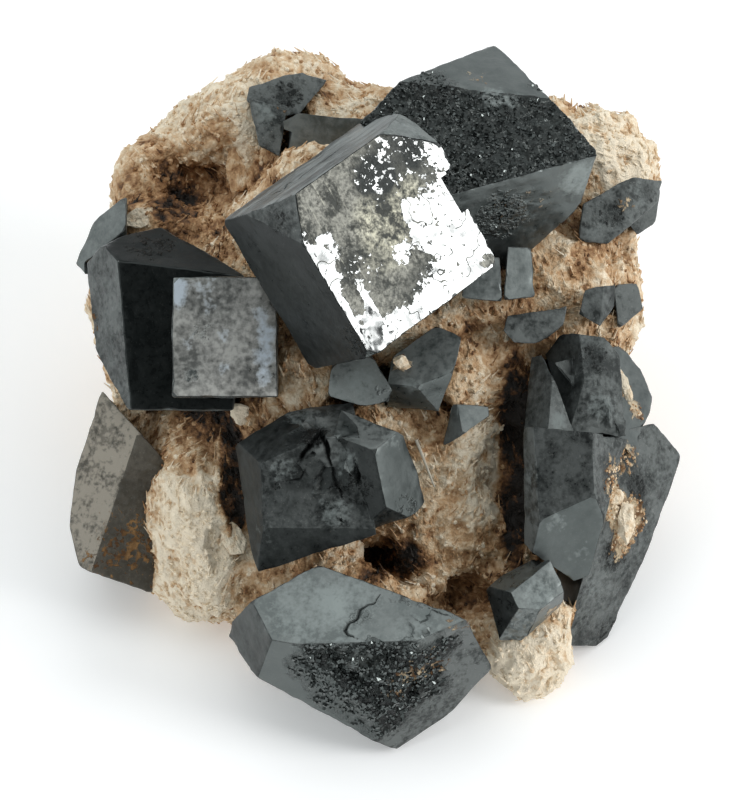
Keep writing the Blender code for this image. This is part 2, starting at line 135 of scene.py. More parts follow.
class Crystal:
    """A crystal's flats, taken clean from its solid, on their way to becoming a finished piece."""

    fine, coarse, halvings = 0.16 * MM, 0.34 * MM, 7
    grooved = 0.065 * MM

    def __init__(self, node, smooth):
        self.node = node
        self.shape = bmesh.new()
        self.shape.from_mesh(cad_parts[node].data)
        bmesh.ops.remove_doubles(self.shape, verts=self.shape.verts, dist=WELD)
        bmesh.ops.dissolve_limit(self.shape, angle_limit=SAME_PLANE, verts=self.shape.verts,
                                 edges=self.shape.edges)
        layers = self.shape.faces.layers
        self.number = layers.int.new("flat")
        self.worn = layers.int.new("worn")
        self.layers = {name: layers.float.new(name) for name in FLAT_NAMES}
        self.frames = {}
        self.dense = set()
        for number, face in enumerate(self.shape.faces):
            face[self.number] = number
            self.frames[number] = (face.calc_center_median(), *axes_on(face))
            self.set(face, smooth)

    def set(self, face, values):
        for name, value in values.items():
            face[self.layers[name]] = value

    def flat(self, turn, lean, near=None):
        """The flat that looks along (turn, lean), and where several do, the one nearest a place."""
        aim = towards(turn, lean)
        alike = [face for face in self.shape.faces if face.normal.dot(aim) > SAME_WAY]
        if near:
            place = on_face(*near)
            return min(alike, key=lambda face: (face.calc_center_median() - place).length)
        return max(alike, key=lambda face: face.calc_area())

    def finish(self, turn, lean, near=None, surface=0, fine=None, **values):
        """Give one flat its surface and what it carries, and finer points where it needs them."""
        face = self.flat(turn, lean, near)
        self.set(face, values)
        face.material_index = surface
        if fine:
            self.dense.add(face[self.number])

    def darken(self):
        for face in self.shape.faces:
            face.material_index = DEEP

    def knock_corners(self):
        """Break a small facet off most of the outer corners."""
        self.shape.normal_update()
        corners = []
        for vert in self.shape.verts:
            shortest = min(edge.calc_length() for edge in vert.link_edges)
            if len(vert.link_edges) != 3 or shortest <= CORNER_EDGE:
                continue
            inwards = sum((edge.other_vert(vert).co for edge in vert.link_edges), Vector()) / 3 - vert.co
            if inwards.dot(vert.normal) < CORNER_OUT:
                size = 0.12 + 0.3 * (0.5 + 0.5 * noise.noise(vert.co / MM * 3.7)) ** 2
                corners.append((vert, size * MM))
        for vert, size in corners:
            if noise.noise(vert.co / MM * 5.3) <= -0.25:
                continue
            cut = bmesh.ops.bevel(self.shape, geom=[vert], offset=size, segments=1, affect="VERTICES")
            for face in cut["faces"]:
                face[self.number] = max(self.frames) + 1
                self.frames[face[self.number]] = (face.calc_center_median(), *axes_on(face))
                self.set(face, {"grain": 0.35, "dust": 0.5, "rough": 0.4})
                face.material_index = DEEP if face.material_index == BLACK else face.material_index

    def wear_edges(self):
        sharp = [edge for edge in self.shape.edges if edge.calc_face_angle(0) > SHARP_EDGE]
        worn = bmesh.ops.bevel(self.shape, geom=sharp, offset=EDGE_WEAR, segments=1,
                               affect="EDGES", clamp_overlap=True)
        for face in worn["faces"]:
            face[self.worn] = 1
            if face.material_index == BLACK:
                face.material_index = DEEP

    def settle(self):
        """Lay points and flats down again in order of place, since a bevel leaves them in any order."""
        fresh = bmesh.new()
        layers = fresh.faces.layers
        number, worn = layers.int.new("flat"), layers.int.new("worn")
        carried_on = {name: layers.float.new(name) for name in FLAT_NAMES}
        order = sorted(self.shape.verts, key=lambda vert: [round(part / PLACE_STEP) for part in vert.co])
        rank = {vert: place for place, vert in enumerate(order)}
        points = [fresh.verts.new(vert.co) for vert in order]
        outlines = {}
        for face in self.shape.faces:
            corners = [rank[vert] for vert in face.verts]
            first = corners.index(min(corners))
            outlines[(*corners[first:], *corners[:first])] = face
        for outline in sorted(outlines):
            face, copy = outlines[outline], fresh.faces.new([points[corner] for corner in outline])
            copy[number], copy[worn] = face[self.number], face[self.worn]
            for name, layer in carried_on.items():
                copy[layer] = face[self.layers[name]]
            copy.material_index = face.material_index
        self.shape.free()
        self.shape, self.number, self.worn, self.layers = fresh, number, worn, carried_on
        self.shape.normal_update()

    def laid(self, across, up, out):
        """A place on the face, moved in or out onto this crystal's own surface."""
        hit = self.clean.ray_cast(on_face(across, up, FAR_OUT), -FACE_OUT)[0]
        place = on_face(across, up, out)
        return hit if hit and (hit - place).length < LAID_WITHIN else place

    def follow(self, grooves):
        """Set out each groove (width, depth, places) as closely spaced points on the surface."""
        self.grooves = []
        for width, depth, places in grooves:
            for number, (start, end) in enumerate(zip(places, places[1:])):
                steps = max(2, round(math.dist(start, end) / GROOVE_STEP))
                for step in range(steps + 1):
                    across, up = (a + (b - a) * step / steps for a, b in zip(start, end))
                    wobble = 0.12 * noise.noise(Vector((across, up, 0)) * 2.5)
                    share = math.sin(math.pi * (number + step / steps) / (len(places) - 1))
                    share = 0.3 + 0.7 * share + 0.4 * noise.noise(Vector((across, up, 5)) * 3)
                    place = self.laid(across + wobble, up - wobble, 3)
                    self.grooves.append((place, width * share, depth * share))
        self.along = kdtree.KDTree(len(self.grooves))
        for number, (place, _, _) in enumerate(self.grooves):
            self.along.insert(place, number)
        self.along.balance()

    def cut(self, place):
        """How deep a groove cuts at a place, in mm, and how much of its floor is there, which also sets its
        painted shade.
        """
        _, number, gap = self.along.find(place)
        if number is None:
            return 0.0, 0.0
        _, width, depth = self.grooves[number]
        share = 1 - soft_step(gap / MM, 0.3 * width, width)
        return depth * share, share

    def grown(self, place):
        """The middle of the small intergrown crystal a place is in, and the painted light or shade it gets.
        """
        middle = noise.voronoi(place / MM * 1.1)[1][0] / 1.1
        return middle, max(-1.0, min(1.0, 2.2 * noise.noise(middle * 5.1 + Vector((3, 0, 0)))))

    def longest(self, edge):
        """How long an edge may stay: short on worn edges and granular flats, which carry relief."""
        middle = (edge.verts[0].co + edge.verts[1].co) / 2
        if self.grooves and self.along.find(middle)[2] < max(0.2 * MM, 0.5 * edge.calc_length()):
            return self.grooved
        if any(face[self.worn] or face[self.number] in self.dense for face in edge.link_faces):
            return self.fine
        return self.coarse

    def split(self):
        """Halve the edges that are too long, again and again."""
        bmesh.ops.triangulate(self.shape, faces=self.shape.faces)
        for _ in range(self.halvings):
            edges = [edge for edge in self.shape.edges if edge.calc_length() > self.longest(edge)]
            bmesh.ops.subdivide_edges(self.shape, edges=edges, cuts=1)
            wide = [face for face in self.shape.faces if len(face.verts) > 3]
            bmesh.ops.triangulate(self.shape, faces=wide)
        self.shape.normal_update()

    def map_flats(self):
        """Millimetres along and across each flat, for marks that follow its growth lines."""
        chart = self.shape.loops.layers.uv.new("flat_mm")
        for face in self.shape.faces:
            middle, along, across = self.frames[face[self.number]]
            for loop in face.loops:
                place = (loop.vert.co - middle) / MM
                loop[chart].uv = (place.dot(along), place.dot(across))

    def roughen(self, marks):
        """Nick the worn edges; give granular flats, scars, growth steps and grooves their relief."""
        moves = []
        for vert in self.shape.verts:
            grain = max(face[self.layers["grain"]] for face in vert.link_faces)
            grain = max(grain, min(1.0, 1.3 * spotted(vert.co, marks["scar"])))
            place = vert.co / MM
            depth = 0.05 * noise.noise(place * 0.7) + 0.022 * noise.noise(place * 2.0)
            depth += grain * 0.06 * (noise.noise(place * 2.1) - 0.8 * abs(noise.noise(place * 4.5)))
            middle, _ = self.grown(vert.co)
            depth += 0.9 * noise.noise_vector(middle * 7.3).dot(place - middle) * min(
                1.0, spotted(vert.co, marks["steps"]))
            depth += 0.09 * min(1.0, spotted(vert.co, marks["earth"])) * max(0, noise.noise(place * 2.6))
            depth -= self.cut(vert.co)[0]
            if any(face[self.worn] for face in vert.link_faces):
                nicks = max(0.0, noise.noise(place * 2.3) + 0.6 * noise.noise(place * 6))
                bites = max(0.0, noise.noise(place * 1.2 + Vector((5, 0, 0))) - 0.2)
                depth -= EDGE_CHIP * (1.3 * nicks + 4.0 * bites)
            moves.append(vert.normal * depth * MM)
        for vert, move in zip(self.shape.verts, moves):
            vert.co += move

    def piece(self, surfaces, grooves=(), **marks):
        """The finished piece for its solid, with marks of (across, up, out, radius, share)."""
        self.clean = BVHTree.FromBMesh(self.shape)
        self.follow(grooves)
        marks = {mark: [(self.laid(*place), radius * MM, share)
                        for *place, radius, share in marks.get(mark, ())] for mark in MARK_NAMES}
        self.knock_corners()
        self.wear_edges()
        self.settle()
        self.split()
        self.map_flats()
        # how much painted shade blackens the groove floor at each point
        groove_shade_shares = [self.cut(vert.co)[1] for vert in self.shape.verts]
        # painted light and shade: each small intergrown crystal is lighter or darker, as its facets would be
        # in the light
        facet_lights = [self.grown(vert.co)[1] * min(1.0, spotted(vert.co, marks["steps"]))
                  for vert in self.shape.verts]
        self.roughen(marks)
        title = self.node.replace("_crystals", "").replace("_crystal", "") + "_perovskite"
        mesh = bpy.data.meshes.new(title)
        self.shape.to_mesh(mesh)
        self.shape.free()
        for surface in surfaces:
            mesh.materials.append(surface)
        mesh.shade_smooth()
        mesh.set_sharp_from_angle(angle=SHARP_SHADE)
        for mark, spots in marks.items():
            carry(mesh, mark, [spotted(vert.co, spots) for vert in mesh.vertices])
        carry(mesh, "cleft", groove_shade_shares)
        carry(mesh, "facet", facet_lights)
        thing = new_object(title, mesh)
        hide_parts(self.node)
        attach(thing, "root")
        return thing


def node(tree, kind, inputs=(), **settings):
    """A shader or geometry node with its settings, and each input set to a value or a link."""
    made = tree.nodes.new(kind)
    for name, value in settings.items():
        setattr(made, name, value)
    for socket, value in dict(inputs).items():
        if isinstance(value, bpy.types.NodeSocket):
            tree.links.new(value, made.inputs[socket])
        else:
            made.inputs[socket].default_value = value
    return made


def maths(operation, *values, clamp=False):
    """Arithmetic in the tree of the first of the values that is a socket."""
    tree = next(value.id_data for value in values if isinstance(value, bpy.types.NodeSocket))
    return node(tree, "ShaderNodeMath", dict(enumerate(values)), operation=operation,
                use_clamp=clamp).outputs[0]


def plus(first, second, clamp=False):
    return maths("ADD", first, second, clamp=clamp)


def minus(first, second):
    return maths("SUBTRACT", first, second)


def times(first, second, clamp=False):
    return maths("MULTIPLY", first, second, clamp=clamp)


def swung(value, swing):
    """How far a noise is from its middle, as strong as is wanted."""
    return times(minus(value, 0.5), swing)


def vector_maths(tree, operation, inputs):
    return node(tree, "ShaderNodeVectorMath", inputs, operation=operation).outputs[0]


def ramp(value, low, high, to_low=0.0, to_high=1.0):
    return node(value.id_data, "ShaderNodeMapRange", {
        "Value": value, "From Min": low, "From Max": high, "To Min": to_low, "To Max": to_high}).outputs[0]


def mix(share, first, second):
    return node(share.id_data, "ShaderNodeMix", {"Factor": share, "A": first, "B": second},
                data_type="RGBA").outputs["Result"]


def mix_value(share, first, second):
    return node(share.id_data, "ShaderNodeMix", {"Factor": share, "A": first, "B": second}).outputs["Result"]


def cloud(place, scale, detail=4.0, roughness=0.55, seed=0.0):
    return node(place.id_data, "ShaderNodeTexNoise", {
        "Vector": place, "Scale": scale, "Detail": detail, "Roughness": roughness, "W": seed},
        noise_dimensions="4D").outputs["Fac"]


def carried(tree, name):
    return node(tree, "ShaderNodeAttribute", attribute_name=name).outputs["Fac"]


def drawn_out(tree, **settings):
    """Millimetres on each flat, turned and drawn out along its growth lines."""
    chart = node(tree, "ShaderNodeUVMap", uv_map="flat_mm").outputs[0]
    return node(tree, "ShaderNodeMapping", {"Vector": chart, **settings}).outputs[0]


def in_millimetres(tree):
    place = node(tree, "ShaderNodeTexCoord").outputs["Object"]
    return vector_maths(tree, "SCALE", {0: place, "Scale": 1 / MM})


def new_surface(name):
    """A new material, with its tree, its shader and the place on the object in millimetres."""
    surface = bpy.data.materials.new(name)
    surface.use_nodes = True
    tree = surface.node_tree
    return surface, tree, tree.nodes["Principled BSDF"], in_millimetres(tree)


def raise_bumps(tree, shader, height, distance, **more):
    bump = node(tree, "ShaderNodeBump", {"Height": height, "Distance": distance * MM, **more})
    tree.links.new(bump.outputs[0], shader.inputs["Normal"])


def black_crystal(name, black=CRYSTAL_BLACK, dust=CRYSTAL_DUST_AND_SHEEN, ior=CRYSTAL_IOR, seed=0.0, shine=0.5,
                  stripes=1.7, soil=CRYSTAL_SOIL, film_and_sheen=CRYSTAL_FILM):
    """Perovskite: near black and bright, dusted and etched flat by flat, granular where broken; its dusting
    also lightens flats as painted sheen.
    """
    surface, tree, shader, place = new_surface(name)
    shader.inputs["IOR"].default_value = ior
    shader.inputs["Specular IOR Level"].default_value = shine
    shader.inputs["Specular Tint"].default_value = CRYSTAL_TINT
    grain, lines, dust_and_sheen_share, rough, earth, film, scar, facet, cleft = (carried(tree, mark) for mark in (
        *FLAT_NAMES, "earth", "film", "scar", "facet", "cleft"))
    broad = cloud(place, 0.7, 5, 0.6, seed)
    fine = cloud(place, 4.5, 2.5, 0.6, seed + 1)
    grit = cloud(place, 14.0, 1, 0.5, seed + 4)
    growth = cloud(drawn_out(tree, Scale=(0.12, stripes, 1.0)), 1.0, 4, 0.75, seed + 2)

    # Dust, which is also painted sheen, thicker in blotches and along the growth lines, with bright specks of
    # it
    blotch = ramp(plus(broad, times(fine, 0.8)), 0.74, 1.06, 0.15, 1.25)
    streaks = times(minus(growth, 0.5), times(lines, 3.0))
    # painted facet light: dust and sheen are thicker or thinner on each small intergrown crystal
    facet_light_gain = plus(times(facet, 0.85), 1.0)
    dust_sheen_facet_cover = times(times(dust_and_sheen_share, facet_light_gain), plus(blotch, streaks), clamp=True)
    shade = mix(dust_sheen_facet_cover, black, dust)
    specks = times(ramp(grit, 0.66, 0.70), plus(times(dust_and_sheen_share, 0.12), 0.03), clamp=True)
    shade = mix(specks, shade, CRYSTAL_SPECKS)

    # The marks that lie on it, each ragged at its rim
    def ragged_mark(mark, swing, low, high):
        return times(ramp(plus(mark, swung(fine, swing)), low, high), ramp(mark, 0.02, 0.15))

    crumbs = ragged_mark(earth, 2.2, 0.5, 0.68)
    filmed = ragged_mark(film, 1.6, 0.3, 0.9)
    scarred = ragged_mark(scar, 1.6, 0.4, 0.7)
    shade = mix(scarred, shade, SCAR_BLACK)
    shade = mix(filmed, shade, film_and_sheen)
    # painted glints: light flecks on broken and granular places
    glint_flecks = times(plus(scarred, grain, clamp=True), ramp(grit, 0.60, 0.68))
    shade = mix(times(glint_flecks, 0.12), shade, BROKEN_GLINT_SPECKS)
    # painted shade: groove floors are black
    shade = mix(cleft, shade, GROOVE_SHADE_BLACK)
    soiled = mix(ramp(cloud(place, 1.6, 4, 0.6, seed + 6), 0.42, 0.58), *soil)
    tree.links.new(mix(crumbs, shade, soiled), shader.inputs["Base Color"])
    dull = plus(plus(rough, swung(fine, 0.4)), times(dust_sheen_facet_cover, 0.12))
    dull = plus(dull, times(maths("MAXIMUM", crumbs, cleft), 0.5), clamp=True)
    tree.links.new(dull, shader.inputs["Roughness"])

    # Granular flats look every way, cell by cell
    cells = node(tree, "ShaderNodeTexVoronoi", {"Vector": place, "Scale": 6.0}, feature="F1")
    tilt = vector_maths(tree, "SUBTRACT", {0: cells.outputs["Color"], 1: (0.5, 0.5, 0.5)})
    tilt = vector_maths(tree, "SCALE", {0: tilt, "Scale": times(grain, 1.1)})
    facing = vector_maths(tree, "ADD", {0: node(tree, "ShaderNodeNewGeometry").outputs["Normal"], 1: tilt})
    facing = vector_maths(tree, "NORMALIZE", {0: facing})
    swell = cloud(place, 1.3, 3, 0.5, seed + 7)
    height = plus(times(growth, lines), times(fine, plus(times(grain, 1.2), 0.14)))
    height = plus(height, times(swell, 0.55))
    height = plus(height, times(crumbs, 0.8))
    height = plus(height, times(times(scarred, fine), 1.6))
    raise_bumps(tree, shader, height, 0.06, Normal=facing)
    return surface


SMOOTH = {"grain": 0.0, "lines": 0.1, "dust": 0.4, "rough": 0.3}
black = black_crystal("black_crystal")
deep = black_crystal("deep_black_crystal", (0.007, 0.008, 0.008, 1), ior=1.5, seed=2, shine=0.25)
broken = black_crystal("broken_crystal", (0.004, 0.005, 0.005, 1), (0.07, 0.075, 0.07, 1), BROKEN_IOR, 3)
# What lies on the bright face: (across, up), (half width, half height) in mm on it, and how much
MIRROR_PATCHES = [
    ((-3.45, -0.9), (0.62, 3.2), 1.0), ((-3.0, -2.6), (0.7, 1.2), 0.8), ((-2.45, -1.7), (0.2, 1.3), 0.8),
    ((-3.2, 0.2), (0.3, 0.9), 0.6), ((1.0, 0.3), (0.5, 0.6), 0.7), ((-1.5, -3.1), (2.8, 0.8), 1.0),
    ((1.6, -2.6), (2.4, 1.3), 1.0), ((2.2, -1.0), (1.35, 1.8), 1.0), ((3.2, 1.1), (0.5, 1.6), 0.9),
    ((-0.2, -0.85), (0.5, 0.45), 0.9), ((1.4, -0.7), (1.1, 1.3), 0.9), ((1.45, 2.7), (0.22, 0.5), 0.9),
    ((-2.7, 0.9), (0.5, 0.7), 0.6), ((-1.6, -2.3), (0.6, 0.5), 0.5), ((-3.0, -0.7), (0.3, 0.5), -0.8),
    ((-3.05, -1.6), (0.28, 0.55), -0.8), ((0.7, -1.65), (1.0, 0.28), -0.8), ((2.75, -2.9), (0.4, 0.3), -0.9),
    ((-0.9, -2.2), (1.4, 0.5), -0.4), ((1.3, -0.2), (0.5, 0.5), -0.35)]
SPECKLED_PATCHES = [
    ((1.3, 2.3), (1.6, 1.1), 1.0), ((0.3, 1.9), (0.9, 1.0), 0.8), ((2.6, 1.6), (0.7, 1.2), 0.7),
    ((-1.8, -0.4), (1.3, 0.9), 0.4), ((0.2, -2.0), (1.6, 0.5), 0.6)]
OLIVE_PATCHES = [
    ((0.1, 0.7), (1.5, 1.2), 1.0), ((-0.7, -0.3), (1.2, 0.9), 0.6), ((1.2, 1.0), (0.9, 0.9), 0.7)]
TARNISH_GREY = (0.36, 0.348, 0.300, 1)
TARNISH_OLIVE = (0.78, 0.74, 0.575, 1)
TARNISH_ETCHED = (0.045, 0.043, 0.036, 1)
TARNISH_DARK = (0.038, 0.036, 0.030, 1)
TARNISH_SCRATCH = (0.55, 0.53, 0.44, 1)
TARNISH_SPECKLED = (0.014, 0.014, 0.013, 1)
# painted shade in the bright face's grooves
TARNISH_GROOVE_SHADE = (0.006, 0.006, 0.005, 1)


def spot(across, up, middle, half):
    """One inside an oval patch, falling off smoothly to nothing at its rim."""
    away = math.hypot((across - middle[0]) / half[0], (up - middle[1]) / half[1])
    return 1 - soft_step(away, 0.55, 1.25)


def paint(mesh, name, middle, across, up, patches):
    """Lay soft oval patches on a mesh, as a value that each point carries."""
    values = []
    for vert in mesh.vertices:
        place = (vert.co - middle) / MM
        values.append(sum(spot(place.dot(across), place.dot(up), spot_at, half) * share
                          for spot_at, half, share in patches))
    carry(mesh, name, values)


def bright_face(name):
    """The mirror-like face: bare crystal that mirrors the lamp, under a tarnish that doesn't."""
    surface = black_crystal(name, ior=BRIGHT_IOR, seed=5)
    tree = surface.node_tree
    shader = tree.nodes["Principled BSDF"]
    place = in_millimetres(tree)
    mirror, speckle, olive, cleft = (carried(tree, mark) for mark in ("mirror", "speckle", "olive", "cleft"))
    mottle = cloud(place, 3.0, 3, 0.65, 9)
    etched = cloud(place, 7.0, 2, 0.7, 18)

    # Where it is bare: the mirror patches, ragged and salted, with pits and fine cracks in them
    salt = minus(cloud(place, 5.5, 2, 0.6, 7), 0.5)
    bare = plus(mirror, swung(cloud(place, 1.5, 4, 0.65, 6), 2.0))
    bare = plus(bare, times(salt, plus(times(speckle, 5.5), 1.6)))
    bare = ramp(minus(bare, times(speckle, 0.06)), 0.44, 0.58)
    veins = maths("ABSOLUTE", minus(cloud(place, 0.9, 2, 0.5, 12), 0.5))
    cracked = ramp(cloud(place, 0.5, 1, 0.5, 14), 0.44, 0.50, 0.04, 0.0)
    bare = times(bare, times(ramp(salt, -0.21, -0.15), ramp(plus(veins, cracked), 0.002, 0.007)))
    # no mirror where the grooves hold painted shade
    bare = times(bare, ramp(cleft, 0.2, 0.7, 1.0, 0.0))

    # The tarnish: grey to olive, etched, dark in places, scratched, black where it is speckled, and black in
    # the grooves as painted shade
    tarnish = mix(olive, TARNISH_GREY, TARNISH_OLIVE)
    tarnish = mix(ramp(etched, 0.38, 0.62, 0.65, 0.0), tarnish, TARNISH_ETCHED)
    tones = plus(times(cloud(place, 0.9, 2, 0.5, 13), 0.6), times(mottle, 0.5))
    tarnish = mix(ramp(plus(tones, times(etched, 0.25)), 0.58, 0.72), TARNISH_DARK, tarnish)
    drawn = drawn_out(tree, Rotation=(0, 0, 0.7), Scale=(5.0, 0.45, 1.0))
    scratched = times(ramp(cloud(drawn, 1.0, 2, 0.6, 15), 0.60, 0.66), ramp(mottle, 0.42, 0.55, 0.1, 0.8))
    tarnish = mix(scratched, tarnish, TARNISH_SCRATCH)
    tarnish = mix(times(speckle, 0.85, clamp=True), tarnish, TARNISH_SPECKLED)
    tarnish = mix(cleft, tarnish, TARNISH_GROOVE_SHADE)

    tree.links.new(mix(bare, tarnish, BRIGHT_MIRROR), shader.inputs["Base Color"])
    tree.links.new(bare, shader.inputs["Metallic"])
    hazy = ramp(cloud(place, 1.3, 4, 0.65, 16), 0.46, 0.62, 0.10, 0.34)
    tree.links.new(mix_value(bare, 0.5, hazy), shader.inputs["Roughness"])
    height = plus(times(plus(mottle, salt), mix_value(bare, 1.4, 0.10)), times(bare, 0.9))
    raise_bumps(tree, shader, height, 0.05)
    return surface


striated = black_crystal("striated_crystal", (0.016, 0.019, 0.019, 1), (0.20, 0.215, 0.21, 1), 1.45, 17,
                         shine=0.3, stripes=0.8)
great = Crystal("great_cubes", SMOOTH)
bright_out = great.flat(80, 29.5, near=(1, 6, 6)).normal.copy()
great.finish(80, 29.5, near=(1, 6, 6), surface=FIRST_OWN, fine=True, dust=0.0, rough=0.1, lines=0.0)
great.finish(329, 78.5, near=(-1, 9, 3), surface=SECOND_OWN, fine=True, dust=0.8, rough=0.36, lines=2.4)
great.finish(233, 63.2, surface=DEEP, dust=0.12, rough=0.34, lines=0.25)
great.finish(262, 45, surface=DEEP, fine=True, grain=0.5, dust=0.9, rough=0.4)     # knocked corners
great.finish(26, 60.3, fine=True, grain=0.6, dust=1.0, rough=0.4)
great.finish(19, 24, surface=BROKEN, fine=True, grain=1.0, lines=0.0, dust=0.15, rough=0.3)
great.finish(10, 54, fine=True, dust=0.35, rough=0.4, lines=0.3)
great.finish(152, 50, fine=True, dust=0.3, rough=0.34, lines=0.3)
great_piece = great.piece(
    [black, deep, broken, bright_face("bright_face"), striated],
    earth=[(4.2, 12.3, -0.5, 0.8, 0.35), (6.2, 7.6, -0.2, 1.0, 0.3)],
    film=[(8.0, 8.4, -0.9, 1.1, 0.8), (4.7, 11.5, 0.1, 0.6, 0.7), (5.4, 11.3, 0.0, 0.4, 0.6),
          (-4.4, 7.1, 6.4, 0.5, 0.35), (1.5, 10.0, 3.9, 0.7, 0.4)],
    grooves=[(0.06, 0.06, [(-4.5, 7.05), (-3.4, 7.75), (-2.3, 8.5), (-1.2, 9.3)]),
             (0.05, 0.05, [(-3.9, 7.05), (-2.7, 7.8), (-1.8, 8.45)]),
             (0.05, 0.05, [(-2.4, 8.9), (-1.2, 9.75), (-0.2, 10.4)]),
             (0.07, 0.12, [(-0.30, 4.02), (-0.16, 3.3), (0.11, 2.53)]),
             (0.06, 0.10, [(-3.16, 6.64), (-3.27, 6.17), (-2.94, 5.84), (-2.68, 5.95)]),
             (0.05, 0.08, [(0.9, 7.6), (1.3, 7.0), (1.4, 6.3)])],
    steps=[(3.2, 11.8, 0.2, 0.7, 0.5)],
    scar=[(2.4, 12.0, 0.2, 1.2, 0.9), (6.6, 11.9, -0.9, 0.8, 0.8), (5.0, 7.0, 0.4, 1.6, 0.6),
          (-3.4, 6.6, 6.3, 0.8, 0.5), (0.2, 2.2, 4.4, 1.6, 0.5)])

# The bright face's own axes, from the cube's pose: up is its left edge, across its lower edge.
BRIGHT_MIDDLE = on_face(-0.2, 6.0, 3.0) + bright_out * 2.3 * MM
BRIGHT_SPIN = math.radians(32.5)
level = FACE_TO_WORLD.to_3x3() @ Vector((0, 1, 0))
bright_up = (level - level.dot(bright_out) * bright_out).normalized()
bright_up.rotate(Matrix.Rotation(BRIGHT_SPIN, 3, bright_out))
bright_across = bright_up.cross(bright_out)
for mark, patches in (("mirror", MIRROR_PATCHES), ("speckle", SPECKLED_PATCHES), ("olive", OLIVE_PATCHES)):
    paint(great_piece.data, mark, BRIGHT_MIDDLE, bright_across, bright_up, patches)


# ---------------------------------------------------------------- crystals on the left
# A small cube with a flat face that is etched pale, on a dark one, and beside them a crystal
# half buried in the rim and one stained brown by iron, with a long ridge.

# the pale face's film is bluish: a painted reflection along its right edge, over the etched film
pale = black_crystal("pale_etched_face", (0.045, 0.045, 0.042, 1), (0.37, 0.36, 0.335, 1), seed=11,
                     film_and_sheen=(0.50, 0.56, 0.62, 1))
stained = black_crystal("stained_crystal", (0.046, 0.038, 0.028, 1), (0.31, 0.275, 0.225, 1), BROKEN_IOR, 13,
                        soil=((0.09, 0.042, 0.016, 1), (0.27, 0.15, 0.06, 1)))

# painted shade: a darker, less reflective copy of the crystal material for the left cubes' flats that lie in
# shade
shaded_black = black_crystal("deepest_black_crystal", (0.004, 0.005, 0.005, 1), ior=1.3, seed=6, shine=0.3)

left = Crystal("left_cubes", SMOOTH)
left.finish(0, 0, surface=FIRST_OWN, dust=0.8, rough=0.34, lines=0.0)
left.finish(90, 10.5, surface=FIRST_OWN, dust=0.8, rough=0.3, lines=0.0)
# these two flats lie in shade and get the painted-shade material
left.finish(242, 6, surface=SECOND_OWN, dust=0.06, rough=0.3, lines=0.0)
left.finish(4, 59, surface=SECOND_OWN, dust=0.1, rough=0.4, lines=0.1)
left.finish(264, 61, surface=DEEP, fine=True, grain=0.3, dust=0.9, rough=0.42)
left.piece(
    [black, deep, broken, pale, shaded_black],
    earth=[(-11.4, 3.0, -2.6, 1.3, 0.55)],
    # the column of film along the pale face's right edge is a painted bluish reflection
    film=[(-7.3, 4.3, 2.2, 0.6, 1.0), (-7.2, 3.7, 2.2, 0.4, 0.8), (-6.2, 4.3, 2.2, 0.6, 0.4),
          (-4.1, 3.2, 2.1, 0.4, 0.7), (-3.9, 2.5, 2.1, 0.5, 0.8), (-3.95, 1.7, 2.1, 0.5, 0.8),
          (-4.0, 0.9, 2.1, 0.45, 0.7), (-6.0, 3.5, 2.2, 0.4, 0.45), (-6.8, 2.1, 2.2, 0.35, 0.5),
          (-5.5, 2.4, 2.2, 0.35, 0.5), (-5.5, 1.2, 2.2, 0.3, 0.6)],
    scar=[(-6.2, 2.6, 2.2, 0.7, 0.35), (-6.7, 0.9, 2.2, 0.4, 0.6), (-8.4, 5.9, -0.9, 1.4, 0.4)])

Crystal("rim_crystal", {**SMOOTH, "rough": 0.45, "dust": 0.9}).piece([black, deep, broken])

brown = Crystal("lower_left_crystal", {"grain": 0.1, "lines": 0.2, "dust": 0.6, "rough": 0.45})
brown.finish(274, 23, fine=True, grain=0.1, lines=0.5, dust=1.35)
brown.finish(142, 11, fine=True, grain=0.3, dust=0.15)
brown.piece(
    [stained],
    earth=[(-8.3, -6.0, -1.5, 2.0, 0.35), (-9.6, -5.2, -1.5, 1.6, 0.3), (-10.8, -6.6, -1.8, 1.2, 0.3)])


# ---------------------------------------------------------------- crystals in the middle
# Two many-faced crystals in the centre and a pair above them, dark and clean on most flats.

